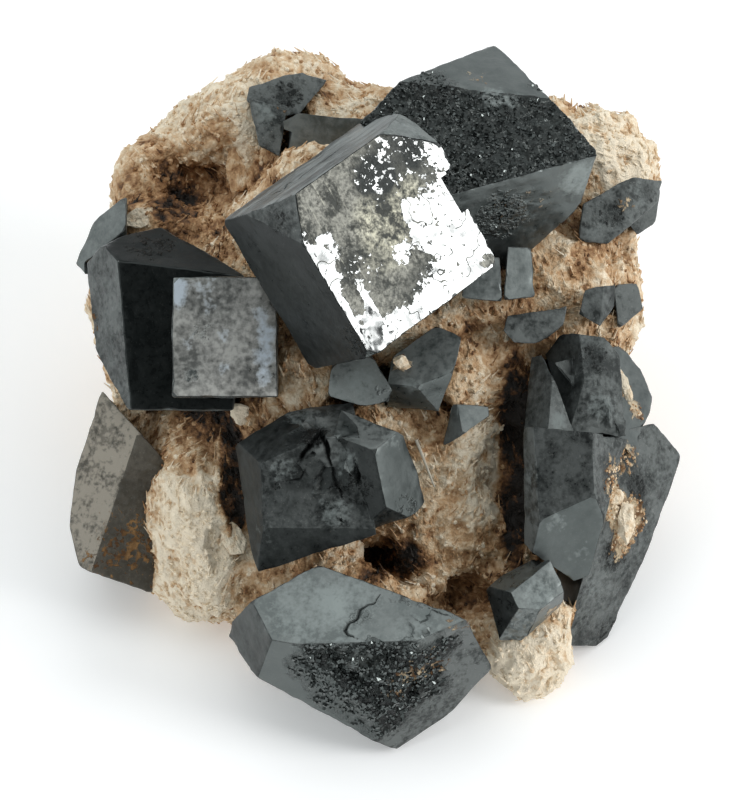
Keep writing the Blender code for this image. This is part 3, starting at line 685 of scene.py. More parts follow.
centre = Crystal("centre_cluster", SMOOTH)
centre.finish(205, 12, surface=DEEP, fine=True, grain=0.1, dust=0.6, rough=0.34, lines=0.0)
centre.finish(350, 60, surface=DEEP, fine=True, dust=0.9, rough=0.4)
centre.finish(263, 64, surface=DEEP, dust=0.2, rough=0.4)
centre.finish(94, 45, dust=0.15, rough=0.4)
centre.finish(189, 30, surface=DEEP, dust=0.2, rough=0.32)
centre.finish(329, 55, surface=DEEP, fine=True, dust=0.2, rough=0.4)
centre.finish(237, 37, surface=DEEP, fine=True, dust=0.15, rough=0.3)
centre.finish(0, 51, fine=True, dust=1.3, rough=0.42)
centre.finish(167, 56, surface=DEEP, dust=0.3)
centre.piece(
    [black, deep, broken],
    grooves=[(0.17, 0.34, [(-1.72, -1.16), (-2.17, -1.57), (-2.58, -2.17)]),
             (0.14, 0.30, [(-1.83, -1.12), (-1.61, -1.80), (-1.46, -2.47)]),
             (0.13, 0.24, [(-0.45, -2.5), (-0.56, -3.07)]),
             (0.09, 0.12, [(-1.46, -2.47), (-1.31, -2.99), (-1.01, -3.74)]),
             (0.05, 0.06, [(-3.5, -3.1), (-2.6, -2.9), (-2.3, -2.3)])],
    steps=[(-1.2, -2.2, 3.0, 1.0, 1.0), (-2.4, -2.4, 2.9, 1.1, 0.9), (-1.2, -3.8, 2.9, 1.1, 0.9),
           (-3.2, -3.6, 2.7, 1.0, 0.6), (-2.4, -0.8, 2.2, 1.0, 0.7)],
    film=[(-0.9, -2.3, 3.2, 0.7, 0.5), (-1.3, -4.2, 2.9, 0.8, 0.5), (-3.2, -2.7, 2.9, 0.7, 0.4),
          (-2.7, -0.6, 2.0, 0.7, 0.5), (-4.1, -5.0, 2.0, 0.7, 0.3), (0.9, -1.4, 3.0, 0.6, 0.4)],
    scar=[(-2.1, -1.3, 2.6, 0.7, 0.9), (-1.2, -3.3, 2.9, 0.6, 0.5), (-0.2, -3.2, 3.1, 0.7, 0.5),
          (1.4, -4.0, 2.4, 0.8, 0.4)])

pair = Crystal("centre_pair", SMOOTH)
pair.finish(309, 20, dust=1.6, rough=0.34)
pair.finish(342, 29, dust=1.0, rough=0.4)
pair.piece(
    [black, deep, broken],
    earth=[(1.2, 1.4, 1.6, 0.45, 1.0)],
    film=[(-0.3, 0.8, 2.0, 0.8, 0.6), (1.6, 0.5, 1.6, 0.5, 0.6)],
    scar=[(0.5, 0.2, 1.8, 0.5, 0.5)])

for name in ("small_triangle_crystal", "small_block_left", "small_block_right", "behind_front_cube_crystal"):
    Crystal(name, {**SMOOTH, "dust": 0.7, "rough": 0.42}).piece([black, deep, broken])

for name in ("lens_crystal", "right_small_crystal"):
    dark = Crystal(name, {**SMOOTH, "dust": 0.8, "rough": 0.42})
    dark.darken()
    dark.piece([black, deep, broken])


# ---------------------------------------------------------------- crystals along the top and right rim
# Small crystals half sunk in the stone at the top left, the upper right and the right edge.

for name in ("top_left_crystals", "upper_right_crystals", "right_edge_crystal"):
    sunk = Crystal(name, {**SMOOTH, "grain": 0.2, "dust": 1.2, "rough": 0.42})
    sunk.darken()
    sunk.piece(
        [black, deep, broken],
        earth=[(9.9, 7.6, -3.0, 0.5, 0.5), (-3.4, 11.4, -4.4, 0.4, 0.4)],
        film=[(-4.1, 11.2, -4.5, 0.6, 0.7), (10.4, 7.9, -3.2, 0.7, 0.4), (8.6, 6.6, -2.5, 0.6, 0.4)],
        scar=[(-3.2, 12.0, -4.6, 0.8, 0.6), (9.4, 7.2, -2.7, 0.8, 0.5), (10.8, 8.0, -3.6, 0.6, 0.5)])


# ---------------------------------------------------------------- crystals on the right
# A long group: a clean prism with a pale end, crystals above it, and a weathered flank.

right = Crystal("right_cluster", {**SMOOTH, "dust": 0.3, "rough": 0.42})
right.finish(148, 31, dust=0.25, rough=0.46)
right.finish(75, 5, surface=DEEP, dust=0.4, rough=0.32)
right.finish(282, 50, near=(7.5, 0.9, 0.1), surface=DEEP, dust=0.4)
right.finish(282, 50, near=(7.5, 1.8, -0.1), surface=DEEP, dust=0.4)
right.finish(66, 50, near=(7.5, 1.1, 0.6), surface=DEEP, dust=0.5)
right.finish(267, 60, surface=DEEP, dust=1.0, rough=0.4)
right.finish(285, 47, surface=DEEP, dust=0.6, rough=0.42)
right.finish(77, 30, surface=DEEP, dust=1.0, rough=0.45)
for turn, lean in ((123, 52), (106, 49), (85, 45), (87, 59)):       # the weathered flank
    right.finish(turn, lean, surface=DEEP, fine=True, grain=0.35, dust=1.0, rough=0.45)
for turn, lean in ((20, 22), (130, 12), (80, 40)):
    right.finish(turn, lean, surface=DEEP, dust=0.9, rough=0.42)
right.piece(
    [black, deep, broken],
    earth=[(9.2, -3.0, 0.4, 1.1, 0.6), (9.9, -4.6, -1.0, 1.2, 1.0), (9.3, -4.0, -0.2, 0.9, 0.9),
           (9.6, -5.6, -0.8, 0.8, 0.7), (9.8, -2.2, -1.0, 0.9, 0.6), (9.8, 0.4, -1.0, 0.55, 0.9),
           (10.2, -0.4, -1.6, 0.5, 0.9)],
    film=[(8.8, -0.3, 0.7, 0.8, 0.55), (7.0, -4.6, 1.7, 0.6, 0.4), (7.9, -5.8, 1.2, 0.7, 0.3),
          (7.1, -0.8, 0.9, 0.5, 0.7), (6.1, -3.0, 1.6, 0.6, 0.4), (8.8, -7.0, -0.8, 1.0, 0.4)],
    steps=[(8.3, 1.2, 0.6, 0.8, 0.5), (7.4, 1.0, 0.6, 0.6, 0.5), (9.2, -1.2, -0.2, 0.9, 0.6)],
    scar=[(8.4, 1.6, 0.4, 0.9, 0.5), (9.4, -5.9, -0.8, 1.2, 0.6), (10.2, -3.4, -1.2, 0.9, 0.6),
          (9.2, -9.0, -1.9, 1.2, 0.5), (7.6, -1.2, 1.5, 0.6, 0.4)])


# ---------------------------------------------------------------- crystals at the bottom
# A broad crystal, light and etched above and broken below, and a small one with a pale top.

low = Crystal("bottom_crystal", SMOOTH)
low.finish(352, 31, fine=True, dust=0.9, rough=0.4, lines=0.1)
low.finish(183, 37, surface=BROKEN, fine=True, grain=1.0, dust=0.5, rough=0.24)
low.finish(257, 64, surface=DEEP, dust=0.5, rough=0.4)
low.finish(199, 49, fine=True, dust=0.2, rough=0.42)
low.finish(150, 51, surface=DEEP, fine=True, dust=1.3, rough=0.36)
low.piece(
    [black, deep, broken],
    grooves=[(0.075, 0.12, [(0.37, -7.22), (-0.3, -7.85), (-1.0, -8.44), (-0.85, -8.66), (-0.37, -8.85)]),
             (0.04, 0.05, [(2.0, -7.6), (3.1, -8.1)])],
    steps=[(2.0, -8.4, 3.8, 1.2, 0.5), (-1.6, -10.2, 3.2, 1.4, 0.8), (0.2, -10.2, 3.4, 1.6, 0.9),
           (1.6, -10.6, 3.0, 1.4, 0.8)],
    earth=[(2.2, -9.9, 3.2, 1.2, 0.45), (1.2, -10.6, 3.0, 1.0, 0.5), (3.4, -8.2, 3.2, 0.8, 0.45)],
    film=[(-2.4, -7.8, 4.0, 1.8, 0.55), (-0.6, -7.4, 4.4, 1.4, 0.5), (1.8, -8.6, 3.7, 1.3, 0.4),
          (-0.6, -9.0, 4.1, 1.0, 0.4), (-1.6, -10.2, 3.2, 0.6, 0.4)],
    scar=[(1.6, -9.9, 3.4, 1.5, 0.75), (0.6, -11.0, 2.6, 1.3, 0.7), (-1.2, -10.4, 3.0, 1.1, 0.6),
          (1.6, -6.6, 3.9, 1.6, 0.5), (-0.4, -8.0, 4.2, 0.6, 0.5), (2.9, -9.1, 3.2, 0.9, 0.6),
          (0.4, -12.0, 2.0, 1.6, 0.7), (-1.0, -11.4, 2.2, 1.2, 0.6), (2.2, -10.8, 2.4, 1.3, 0.6),
          (-2.2, -10.0, 3.2, 1.3, 0.9), (-1.6, -11.0, 2.6, 1.0, 0.8), (0.1, -9.15, 4.0, 0.5, 1.0),
          (1.4, -9.2, 3.8, 0.45, 1.0)])

nub = Crystal("lower_right_crystal", SMOOTH)
nub.finish(38, 19, dust=1.0, rough=0.34)
nub.finish(174, 52, fine=True, grain=1.0, dust=0.9, rough=0.4)
nub.finish(250, 54, surface=DEEP, dust=0.3)
nub.piece([black, deep, broken], earth=[(7.0, -8.2, 1.3, 0.6, 0.8)], film=[(6.3, -7.2, 2.1, 0.9, 0.5)])


# ---------------------------------------------------------------- matrix
# The tan stone that the crystals grew on: a crumbly mix of cream fibrous bundles and sugary
# brown grains, darker in its hollows, with painted shade beside the crystals and in its crevices.
# It is one piece, closed up against every crystal, and broken off flat underneath.

STONE_POINT = 0.152 * MM        # spacing of the stone's points
STONE_REACH = 0.75 * MM         # the stone is drawn up to crystals nearer than this
STONE_BITE = 0.12 * MM          # and this far into them
TABLE_CLEAR = 0.6 * MM          # the relief fades out this close to the table
UNDERSIDE = 0.05 * MM           # and below this the stone stays as flat as it broke
CREVICE_SHADE_NEAR, CREVICE_SHADE_FAR = 0.1 * MM, 0.7 * MM      # painted shade darkens it from here to here beside crystals
CLEAR_NEAR, CLEAR_FAR = 0.12 * MM, 0.3 * MM     # and clear of loose grains

STONE_TONES = [                 # (across, up) and (half width, half height) in mm, change of tone
    ((-6.7, -5.6), (1.9, 3.0), 0.40),       # cream fibrous bundle low on the left
    ((6.3, -10.3), (2.0, 1.6), 0.45),       # cream nub low on the right
    ((-5.5, 11.2), (3.6, 1.8), 0.22),       # pale top left rim
    ((-9.2, 8.2), (0.8, 1.2), -0.25),
    ((-6.3, 6.7), (1.2, 0.7), -0.25),       # orange-brown bands beside the hollow
    ((-4.4, 8.6), (1.2, 0.8), -0.30),
    ((-6.4, 10.4), (1.6, 0.8), -0.12),
    ((9.2, 9.6), (2.6, 2.2), 0.30),         # pale upper right rim
    ((4.3, -2.8), (1.3, 2.2), 0.20),        # light fibres beside the prism
    ((-5.3, 9.6), (0.7, 1.3), 0.15),
    ((-6.7, 8.5), (1.7, 1.1), -0.50),       # brown hollow at the upper left
    ((-7.6, 7.3), (1.0, 0.9), -0.45),
    ((-5.3, -3.4), (0.5, 2.4), -0.75),      # painted shade in the crevice left of the middle crystals
    ((-5.6, -0.8), (1.8, 0.9), -0.35),      # brown band under the pale cube
    ((-6.9, -1.8), (1.5, 1.3), -0.24),
    ((5.4, -2.2), (0.55, 4.2), -0.85),      # painted shade in the crevice along the prism
    ((0.9, -6.1), (1.4, 0.8), -0.75),       # painted shade in the dark cavity
    ((3.6, -7.6), (1.5, 0.8), -0.45),       # brown hollow beside the bottom crystal
    ((2.4, -5.0), (2.4, 1.2), -0.12),
    ((4.0, 1.6), (1.5, 1.5), -0.10),
]

crystals = bmesh.new()
for name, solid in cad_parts.items():
    if name != "matrix":
        crystals.from_mesh(solid.data)
crystal_tree = BVHTree.FromBMesh(crystals)
crystals.free()


def as_plain_mesh(thing):
    """What an object's modifiers make of it, as a mesh of its own."""
    return bpy.data.meshes.new_from_object(thing.evaluated_get(bpy.context.evaluated_depsgraph_get()))


def even_points(node, spacing):
    """A solid's surface, rebuilt with evenly spaced points."""
    thing = new_object(node + "_even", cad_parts[node].data.copy())
    thing.modifiers.new("weld", "WELD").merge_threshold = WELD
    even = thing.modifiers.new("even", "REMESH")
    even.mode = "VOXEL"
    even.voxel_size = spacing
    mesh = as_plain_mesh(thing)
    bpy.data.objects.remove(thing)
    return mesh


def billow(place):
    """Noise in round lumps with creases between them."""
    return 1 - 2 * abs(noise.noise(place))


stone_mesh = even_points("matrix", STONE_POINT)
to_face = FACE_TO_WORLD.inverted()
tones, opens, places, flows = [], [], [], []
for start, normal in [(vert.co.copy(), vert.normal.copy()) for vert in stone_mesh.vertices]:
    face_place = to_face @ start / MM
    across, up, out = face_place
    fibre = noise.noise(Vector((across * 4.2, up * 0.9, out * 3.0)))
    lumps = billow(face_place * 0.8) - 0.4
    grains = billow(face_place * 2.4 + Vector((7, 3, 1))) - 0.4
    sugar = noise.noise(face_place * 5.5)
    relief = 0.26 * lumps + 0.15 * grains + 0.12 * fibre + 0.08 * sugar
    outside = normal.dot(FACE_OUT)
    away = soft_step(outside, -0.3, 0.2) * sum(
        spot(across, up, middle, half) * change for middle, half, change in STONE_TONES)
    place, outwards, _, gap = crystal_tree.find_nearest(start)
    front = soft_step(start.z, 0, TABLE_CLEAR)
    moved = start + normal * relief * front * MM
    towards_crystal = place - moved
    near = 1 - soft_step(gap, 0.45 * STONE_REACH, STONE_REACH)
    moved += towards_crystal + towards_crystal.normalized() * STONE_BITE if near > 0.99 else (
        towards_crystal * near)
    places.extend(moved if start.z > UNDERSIDE else start)
    tone = 0.68 + 0.75 * relief + away + 0.22 * noise.noise(face_place * 0.55)
    # painted shade: the stone darkens towards each crystal it meets
    tones.append(tone - 0.30 * (1 - soft_step(gap, CREVICE_SHADE_NEAR, CREVICE_SHADE_FAR)))
    buried = (start - place).dot(outwards) < 0
    shown = 0.3 + 0.7 * soft_step(outside, 0.0, 0.4)
    opens.append(0 if buried else front * shown * soft_step(gap, CLEAR_NEAR, CLEAR_FAR))
    swing = noise.noise(Vector((across * 0.35, up * 0.35, 4))) * 2.2
    lay = FACE_TO_WORLD.to_3x3() @ Vector((math.sin(swing), math.cos(swing), 0.0))
    flows.extend((lay - lay.dot(normal) * normal).normalized() + 0.12 * normal)
stone_mesh.vertices.foreach_set("co", places)
carry(stone_mesh, "tone", tones)
carry(stone_mesh, "open", opens)
stone_mesh.attributes.new("flow", "FLOAT_VECTOR", "POINT").data.foreach_set("vector", flows)


STONE_SHADES = [    # from its darkest tone, in hollows and painted crevice shade, to its lightest fibres
    (0.0, (0.010, 0.006, 0.003)), (0.18, (0.105, 0.046, 0.017)), (0.38, (0.32, 0.162, 0.066)),
    (0.58, (0.57, 0.355, 0.185)), (0.80, (0.75, 0.575, 0.38)), (1.0, (0.91, 0.79, 0.61))]


def stone(name, seed):
    """Calcite and clay, stained by iron: cream where clean, rusty brown where it isn't, and dark in painted
    shade.
    """
    surface, tree, shader, place = new_surface(name)
    fine = cloud(place, 3.6, 2.5, 0.6, seed + 1)
    shade = plus(carried(tree, "tone"), swung(cloud(place, 0.9, 4, 0.6, seed), 0.6))
    shade = plus(shade, swung(fine, 1.3))
    shade = plus(shade, carried(tree, "tint"))
    colours = node(tree, "ShaderNodeValToRGB", {"Fac": shade})
    band = colours.color_ramp
    while len(band.elements) < len(STONE_SHADES):
        band.elements.new(1.0)
    for element, (position, colour) in zip(band.elements, STONE_SHADES):
        element.position = position
        element.color = (*colour, 1)
    tree.links.new(colours.outputs["Color"], shader.inputs["Base Color"])
    tree.links.new(ramp(fine, 0.3, 0.7, 0.55, 0.85), shader.inputs["Roughness"])
    raise_bumps(tree, shader, cloud(place, 7.0, 2, 0.6, seed + 2), 0.12)
    return surface


tan_stone = stone("tan_stone", 0)
stone_mesh.materials.clear()
stone_mesh.materials.append(tan_stone)
stone_mesh.shade_smooth()
stone_piece = new_object("matrix_stone", stone_mesh)
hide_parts("matrix")
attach(stone_piece, "root")


# ---------------------------------------------------------------- grains and fibres
# Sugary grains and short needle bundles stand loose on the stone, thickest on the face that
# carries the crystals. They are the same calcite and clay, broken through when it was split.

ANY_TURN = (6.28, 6.28, 6.28)   # a full turn about each axis


def random_vector(tree, low, high, seed):
    return node(tree, "FunctionNodeRandomValue", {0: low, 1: high, "Seed": seed},
                data_type="FLOAT_VECTOR").outputs[0]


def scatter(name, grows):
    """A tree that sets one small shape on the open stone, again and again, each a little different."""
    tree = bpy.data.node_groups.new(name, "GeometryNodeTree")
    for title, way, kind in (
            ("Geometry", "INPUT", "Geometry"), ("Per mm2", "INPUT", "Float"), ("Smallest", "INPUT", "Vector"),
            ("Largest", "INPUT", "Vector"), ("Tint", "INPUT", "Float"), ("Material", "INPUT", "Material"),
            ("Geometry", "OUTPUT", "Geometry")):
        tree.interface.new_socket(title, in_out=way, socket_type="NodeSocket" + kind)
    given = node(tree, "NodeGroupInput").outputs
    open_here = node(tree, "GeometryNodeInputNamedAttribute", {"Name": "open"}, data_type="FLOAT")
    thick = times(times(given["Per mm2"], 1 / MM ** 2), open_here.outputs["Attribute"])
    spread = node(tree, "GeometryNodeDistributePointsOnFaces", {
        "Mesh": given["Geometry"], "Seed": 7, "Density": thick})
    shape, turned = grows(tree)
    size = random_vector(tree, given["Smallest"], given["Largest"], 1)
    put = node(tree, "GeometryNodeInstanceOnPoints", {
        "Points": spread.outputs["Points"], "Instance": shape, "Rotation": turned, "Scale": size})
    tint = node(tree, "FunctionNodeRandomValue", {2: times(given["Tint"], -1.0), 3: given["Tint"], "Seed": 3},
                data_type="FLOAT").outputs[1]
    tinted = node(tree, "GeometryNodeStoreNamedAttribute", {
        "Geometry": put.outputs[0], "Name": "tint", "Value": tint}, data_type="FLOAT", domain="INSTANCE")
    whole = node(tree, "GeometryNodeRealizeInstances", {"Geometry": tinted.outputs[0]})
    dressed = node(tree, "GeometryNodeSetMaterial", {
        "Geometry": whole.outputs[0], "Material": given["Material"]})
    node(tree, "NodeGroupOutput", {"Geometry": dressed.outputs[0]})
    return tree


def grow_grains(tree):
    """A rounded grain, turned any way."""
    grain = node(tree, "GeometryNodeMeshIcoSphere", {"Radius": 1.0, "Subdivisions": 1}).outputs["Mesh"]
    return grain, random_vector(tree, (0, 0, 0), ANY_TURN, 2)


def grow_fibres(tree):
    """A four-sided needle that lies along the bundle, its tip a little off the stone."""
    needle = node(tree, "GeometryNodeMeshCone", {
        "Vertices": 4, "Radius Top": 0.25, "Radius Bottom": 1.0, "Depth": 1.0}).outputs["Mesh"]
    flow = node(tree, "GeometryNodeInputNamedAttribute", {"Name": "flow"}, data_type="FLOAT_VECTOR")
    stray = random_vector(tree, (-0.3, -0.3, -0.3), (0.3, 0.3, 0.3), 2)
    aim = vector_maths(tree, "ADD", {0: flow.outputs["Attribute"], 1: stray})
    return needle, node(tree, "FunctionNodeAlignRotationToVector", {"Vector": aim}, axis="Z").outputs[0]


def loose_piece(name, tree, ground, inputs, surface):
    """What a tree sets on the ground it is given, as a plain mesh piece of its own."""
    thing = new_object(name, ground)
    made = thing.modifiers.new("scatter", "NODES")
    made.node_group = tree
    inputs = {**inputs, "Material": surface}
    for socket in tree.interface.items_tree:
        if socket.in_out == "INPUT" and socket.name in inputs:
            made[socket.identifier] = inputs[socket.name]
    mesh = as_plain_mesh(thing)
    thing.modifiers.clear()
    thing.data = mesh
    mesh.name = name
    mesh.materials.clear()
    mesh.materials.append(surface)
    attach(thing, "root")
    return thing


grain_tree = scatter("grains", grow_grains)
loose_piece("stone_grains", grain_tree, stone_mesh.copy(),
            {"Per mm2": 9.0, "Tint": 0.28, "Smallest": (0.05 * MM,) * 3,
             "Largest": (0.15 * MM, 0.13 * MM, 0.12 * MM)}, tan_stone)
loose_piece("stone_fibres", scatter("fibres", grow_fibres), stone_mesh.copy(),
            {"Per mm2": 8.0, "Tint": 0.26, "Smallest": (0.03 * MM, 0.03 * MM, 0.15 * MM),
             "Largest": (0.07 * MM, 0.06 * MM, 0.55 * MM)}, tan_stone)


# ---------------------------------------------------------------- crumbs
# Stone that stayed on the crystals when the pocket was opened, in small grains.

def ground_from(names, bare, tone):
    """The triangles of some crystals that are bare enough, in order of place.

    A crystal's points come in another order in each run, and the scatter goes by that order.
    """
    patches = []
    for name in names:
        mesh = bpy.data.objects[name + "_perovskite"].data
        marks = {mark: [value.value for value in mesh.attributes[mark].data] for mark in MARK_NAMES}
        for face in mesh.polygons:
            share = bare(marks, face)
            if share > 0:
                corners = [tuple(mesh.vertices[index].co) for index in face.vertices]
                first = corners.index(min(corners))
                patches.append((corners[first:] + corners[:first], share))
    patches.sort()
    points = [corner for corners, _ in patches for corner in corners]
    shares = [share for corners, share in patches for _ in corners]
    ground = bpy.data.meshes.new("ground")
    ground.from_pydata(points, [], [(first, first + 1, first + 2) for first in range(0, len(points), 3)])
    carry(ground, "open", shares)
    carry(ground, "tone", [tone + 0.45 * share for share in shares])
    return ground


def most(share, least):
    """A share where there is enough of it, and nothing elsewhere."""
    return share if share > least else 0


def earthy(marks, face):
    return most(min(marks["earth"][index] for index in face.vertices), 0.35)


def fractured(marks, face):
    if face.material_index == BROKEN:
        return 1
    return most(min(marks["scar"][index] for index in face.vertices), 0.55)


loose_piece("crystal_crumbs", grain_tree, ground_from(("right_cluster", "centre_pair"), earthy, 0.35),
            {"Per mm2": 40.0, "Tint": 0.3, "Smallest": (0.03 * MM,) * 3,
             "Largest": (0.10 * MM, 0.08 * MM, 0.07 * MM)}, tan_stone)


# ---------------------------------------------------------------- broken grains
# Where a crystal broke across its flats it shows a sugary fracture: small black blocks at every
# angle, coarse on the bottom crystals and fine on the dark cube.

def grow_blocks(tree):
    """A black block, turned any way."""
    block = node(tree, "GeometryNodeMeshCube", {"Size": (1.6, 1.6, 1.6)}).outputs["Mesh"]
    return block, random_vector(tree, (0, 0, 0), ANY_TURN, 4)


block_tree = scatter("blocks", grow_blocks)
for name, names, thick, smallest, largest, shade in (
        ("fine_fracture", ("great_cubes",), 26.0, 0.02, 0.075, (0.006, 0.007, 0.007, 1)),
        ("coarse_fracture", ("bottom", "lower_right"), 36.0, 0.03, 0.10, (0.030, 0.034, 0.033, 1))):
    piece = loose_piece(name, block_tree, ground_from(names, fractured, 0.0),
                        {"Per mm2": thick, "Tint": 0.0, "Smallest": (smallest * MM,) * 3,
                         "Largest": (largest * MM,) * 3}, black_crystal(name, shade, ior=1.8, seed=21))


# ---------------------------------------------------------------- shards
# Larger flakes of stone that lie loose: a white one under the pale cube, a grey slab at the top
# left, and cream ones on the stone and on the weathered flank.

STONE_RAY = 12                  # rays onto the stone start this many mm out from the face
SHARD_CORNERS = 14
SHARD_RELIEF = 0.08 * MM
SHARD_SUNK = 0.2                # a shard's middle is this share of its half depth above the stone
# (across, up) and (half width, half height, half depth) in mm, turn, tone, and out if on a crystal
SHARDS = [
    ((-4.9, -0.55), (0.55, 0.42, 0.25), 20, 1.25, None),        # white flake under the pale cube
    ((-5.1, 9.4), (0.55, 1.35, 0.40), 6, 0.62, None),           # slab at the top left
    ((-9.2, 8.3), (0.55, 0.85, 0.40), 25, 0.50, None),
    ((-8.9, 7.1), (0.8, 0.35, 0.3), -15, 0.95, None),
    ((-0.45, -5.8), (0.28, 0.60, 0.35), 15, 0.98, None),        # cream shard in the dark cavity
    ((-5.2, -5.3), (0.45, 0.75, 0.35), -25, 0.98, None),
    ((1.2, 1.4), (0.36, 0.26, 0.2), 10, 0.95, 1.75),
    ((9.75, -4.6), (0.34, 0.95, 0.28), 4, 1.0, -0.35),          # on the weathered flank
    ((9.35, -3.7), (0.28, 0.35, 0.2), 30, 0.85, 0.1),
    ((9.75, 0.5), (0.20, 0.75, 0.2), -20, 1.0, -1.0),
    ((7.2, -9.9), (0.55, 0.40, 0.3), 20, 1.0, None),
    ((4.9, -9.0), (0.4, 0.3, 0.25), -30, 0.9, None),
]
stone_tree = BVHTree.FromPolygons([vert.co for vert in stone_mesh.vertices],
                                  [face.vertices for face in stone_mesh.polygons])


def on_stone(across, up):
    return stone_tree.ray_cast(on_face(across, up, STONE_RAY), -FACE_OUT)[0]


shards = bmesh.new()
shard_tone = shards.verts.layers.float.new("tone")
for number, ((across, up), half, turn, tone, out) in enumerate(SHARDS):
    place = on_face(across, up, out) if out is not None else (
        on_stone(across, up) + FACE_OUT * SHARD_SUNK * half[2] * MM)
    turned = FACE_TO_WORLD.to_3x3() @ Matrix.Rotation(-math.radians(turn), 3, "Z")
    made = []
    for corner in range(SHARD_CORNERS):
        aim = Vector(noise.noise(Vector((number, corner, seed))) for seed in (0.3, 5.7, 9.1)).normalized()
        wide = Vector(length * part for length, part in zip(half, aim))
        vert = shards.verts.new(place + turned @ wide * MM)
        vert[shard_tone] = tone
        made.append(vert)
    hull = bmesh.ops.convex_hull(shards, input=made)
    spare = hull["geom_interior"] + hull["geom_unused"]
    spare = {item for item in spare if isinstance(item, bmesh.types.BMVert)}
    bmesh.ops.delete(shards, geom=list(spare), context="VERTS")
bmesh.ops.subdivide_edges(shards, edges=shards.edges[:], cuts=2, use_grid_fill=True)
bmesh.ops.triangulate(shards, faces=shards.faces)
bmesh.ops.recalc_face_normals(shards, faces=shards.faces)
for vert in shards.verts:
    place = vert.co / MM * 3
    vert.co += Vector(noise.noise(place + Vector(shift)) for shift in (
        (0, 0, 0), (9, 0, 0), (0, 9, 0))) * SHARD_RELIEF
shard_mesh = bpy.data.meshes.new("stone_shards")
shards.to_mesh(shard_mesh)
shards.free()
shard_mesh.materials.append(tan_stone)
shard_piece = new_object("stone_shards", shard_mesh)
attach(shard_piece, "root")


# ---------------------------------------------------------------- glassy needle
# One clear six-sided needle that lies on the stone to the right of the middle crystals.

NEEDLE_ENDS = [(1.75, -1.5), (2.45, -3.3)]
NEEDLE_RADIUS = 0.07 * MM
NEEDLE_BEVEL = 0.008 * MM
NEEDLE_CLEAR = 0.14 * MM        # its middle line is this far out from the stone at its ends

ends = [on_stone(across, up) + FACE_OUT * NEEDLE_CLEAR for across, up in NEEDLE_ENDS]
length = ends[1] - ends[0]
needle = bmesh.new()
bmesh.ops.create_cone(needle, cap_ends=True, segments=6, radius1=NEEDLE_RADIUS, radius2=0.5 * NEEDLE_RADIUS,
                      depth=length.length)
bmesh.ops.transform(needle, verts=needle.verts, matrix=Matrix.Translation((ends[0] + ends[1]) / 2)
                    @ length.to_track_quat("Z", "Y").to_matrix().to_4x4())
bmesh.ops.bevel(needle, geom=needle.edges[:], offset=NEEDLE_BEVEL, segments=1, affect="EDGES")
needle_mesh = bpy.data.meshes.new("glassy_needle")
needle.to_mesh(needle_mesh)
needle.free()
glassy, tree, shader, place = new_surface("glassy_needle")
tree.links.new(mix(cloud(place, 5.0, 2, 0.5, 31), (0.42, 0.36, 0.27, 1), (0.80, 0.76, 0.66, 1)),
               shader.inputs["Base Color"])
tree.links.new(ramp(cloud(place, 8.0, 2, 0.5, 32), 0.3, 0.7, 0.08, 0.3), shader.inputs["Roughness"])
needle_mesh.materials.append(glassy)
needle_piece = new_object("glassy_needle", needle_mesh)
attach(needle_piece, "root")


# ---------------------------------------------------------------- setting
# A plain pale table in a white tent, with one strong soft lamp at the right.

TABLE_HALF = 3.0                # metres
CAMERA_AWAY = 160               # mm out from the middle of the face
FILM_HEIGHT = 36
LENS = 189.5

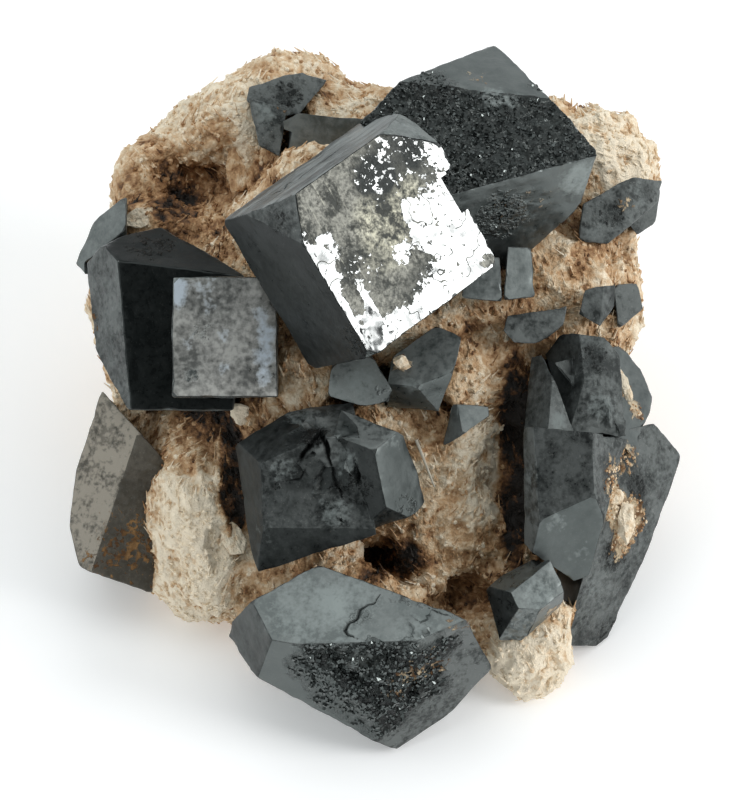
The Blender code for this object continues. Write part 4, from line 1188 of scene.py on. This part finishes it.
floor_mesh = bpy.data.meshes.new("table")
floor_mesh.from_pydata([(x * TABLE_HALF, y * TABLE_HALF, 0) for x, y in ((-1, -1), (1, -1), (1, 1), (-1, 1))],
                       [], [(0, 1, 2, 3)])
floor = new_object("table", floor_mesh)
white = bpy.data.materials.new("white_table")
white.use_nodes = True
for name, value in (("Base Color", (0.9, 0.9, 0.9, 1)), ("Roughness", 0.9), ("Specular IOR Level", 0.1),
                    ("Emission Color", (1, 1, 1, 1)), ("Emission Strength", 0.22)):
    white.node_tree.nodes["Principled BSDF"].inputs[name].default_value = value
floor_mesh.materials.append(white)

world = bpy.data.worlds.new("white_tent")
bpy.context.scene.world = world
world.use_nodes = True
tent = world.node_tree
tent.nodes["Background"].inputs["Color"].default_value = (0.94, 0.985, 1, 1)
seen = node(tent, "ShaderNodeTexCoord").outputs["Generated"]
glow = 0.6
for direction, wide, narrow, strength in (      # full within narrow of a direction, none past wide
        ((-1, -0.3, 0.5), 70, 20, 1.05), ((1, 0, 0.1), 60, 25, 0.4), ((0, 1, 0.3), 65, 25, 0.8),
        ((0.05, 0.1, 1), 45, 22, 1.5), ((0.05, -0.68, 0.73), 40, 24, 0.12)):
    facing = node(tent, "ShaderNodeVectorMath", {0: seen, 1: Vector(direction).normalized()},
                  operation="DOT_PRODUCT").outputs["Value"]
    wide, narrow = math.cos(math.radians(wide)), math.cos(math.radians(narrow))
    share = node(tent, "ShaderNodeMapRange", {"Value": facing, "From Min": wide, "From Max": narrow},
                 interpolation_type="SMOOTHSTEP").outputs[0]
    glow = mix_value(share, glow, strength)
tent.links.new(glow, tent.nodes["Background"].inputs["Strength"])

LAMP_SIZE = 0.24                # metres across
LAMP_AWAY = 0.5
LAMP_RADIANCE = 9.0
light = bpy.data.lights.new("right_lamp", "AREA")
light.shape = "DISK"
light.size = LAMP_SIZE
light.energy = LAMP_RADIANCE * math.pi * math.pi * (LAMP_SIZE / 2) ** 2
lamp = new_object("right_lamp", light)
aim = Vector((0.853, -0.208, 0.492)).normalized()
lamp.location = FACE_MIDDLE + aim * LAMP_AWAY
lamp.rotation_euler = aim.to_track_quat("Z", "Y").to_euler()

camera = bpy.data.cameras.new("camera")
camera.sensor_fit = "VERTICAL"
camera.sensor_height = FILM_HEIGHT
camera.lens = LENS
camera.clip_start = 0.01
eye = new_object("camera", camera)
eye.location = on_face(0, 0, CAMERA_AWAY)
eye.rotation_euler = (FACE_TILT, 0, 0)
bpy.context.scene.camera = eye
bpy.context.scene.view_settings.view_transform = "Standard"
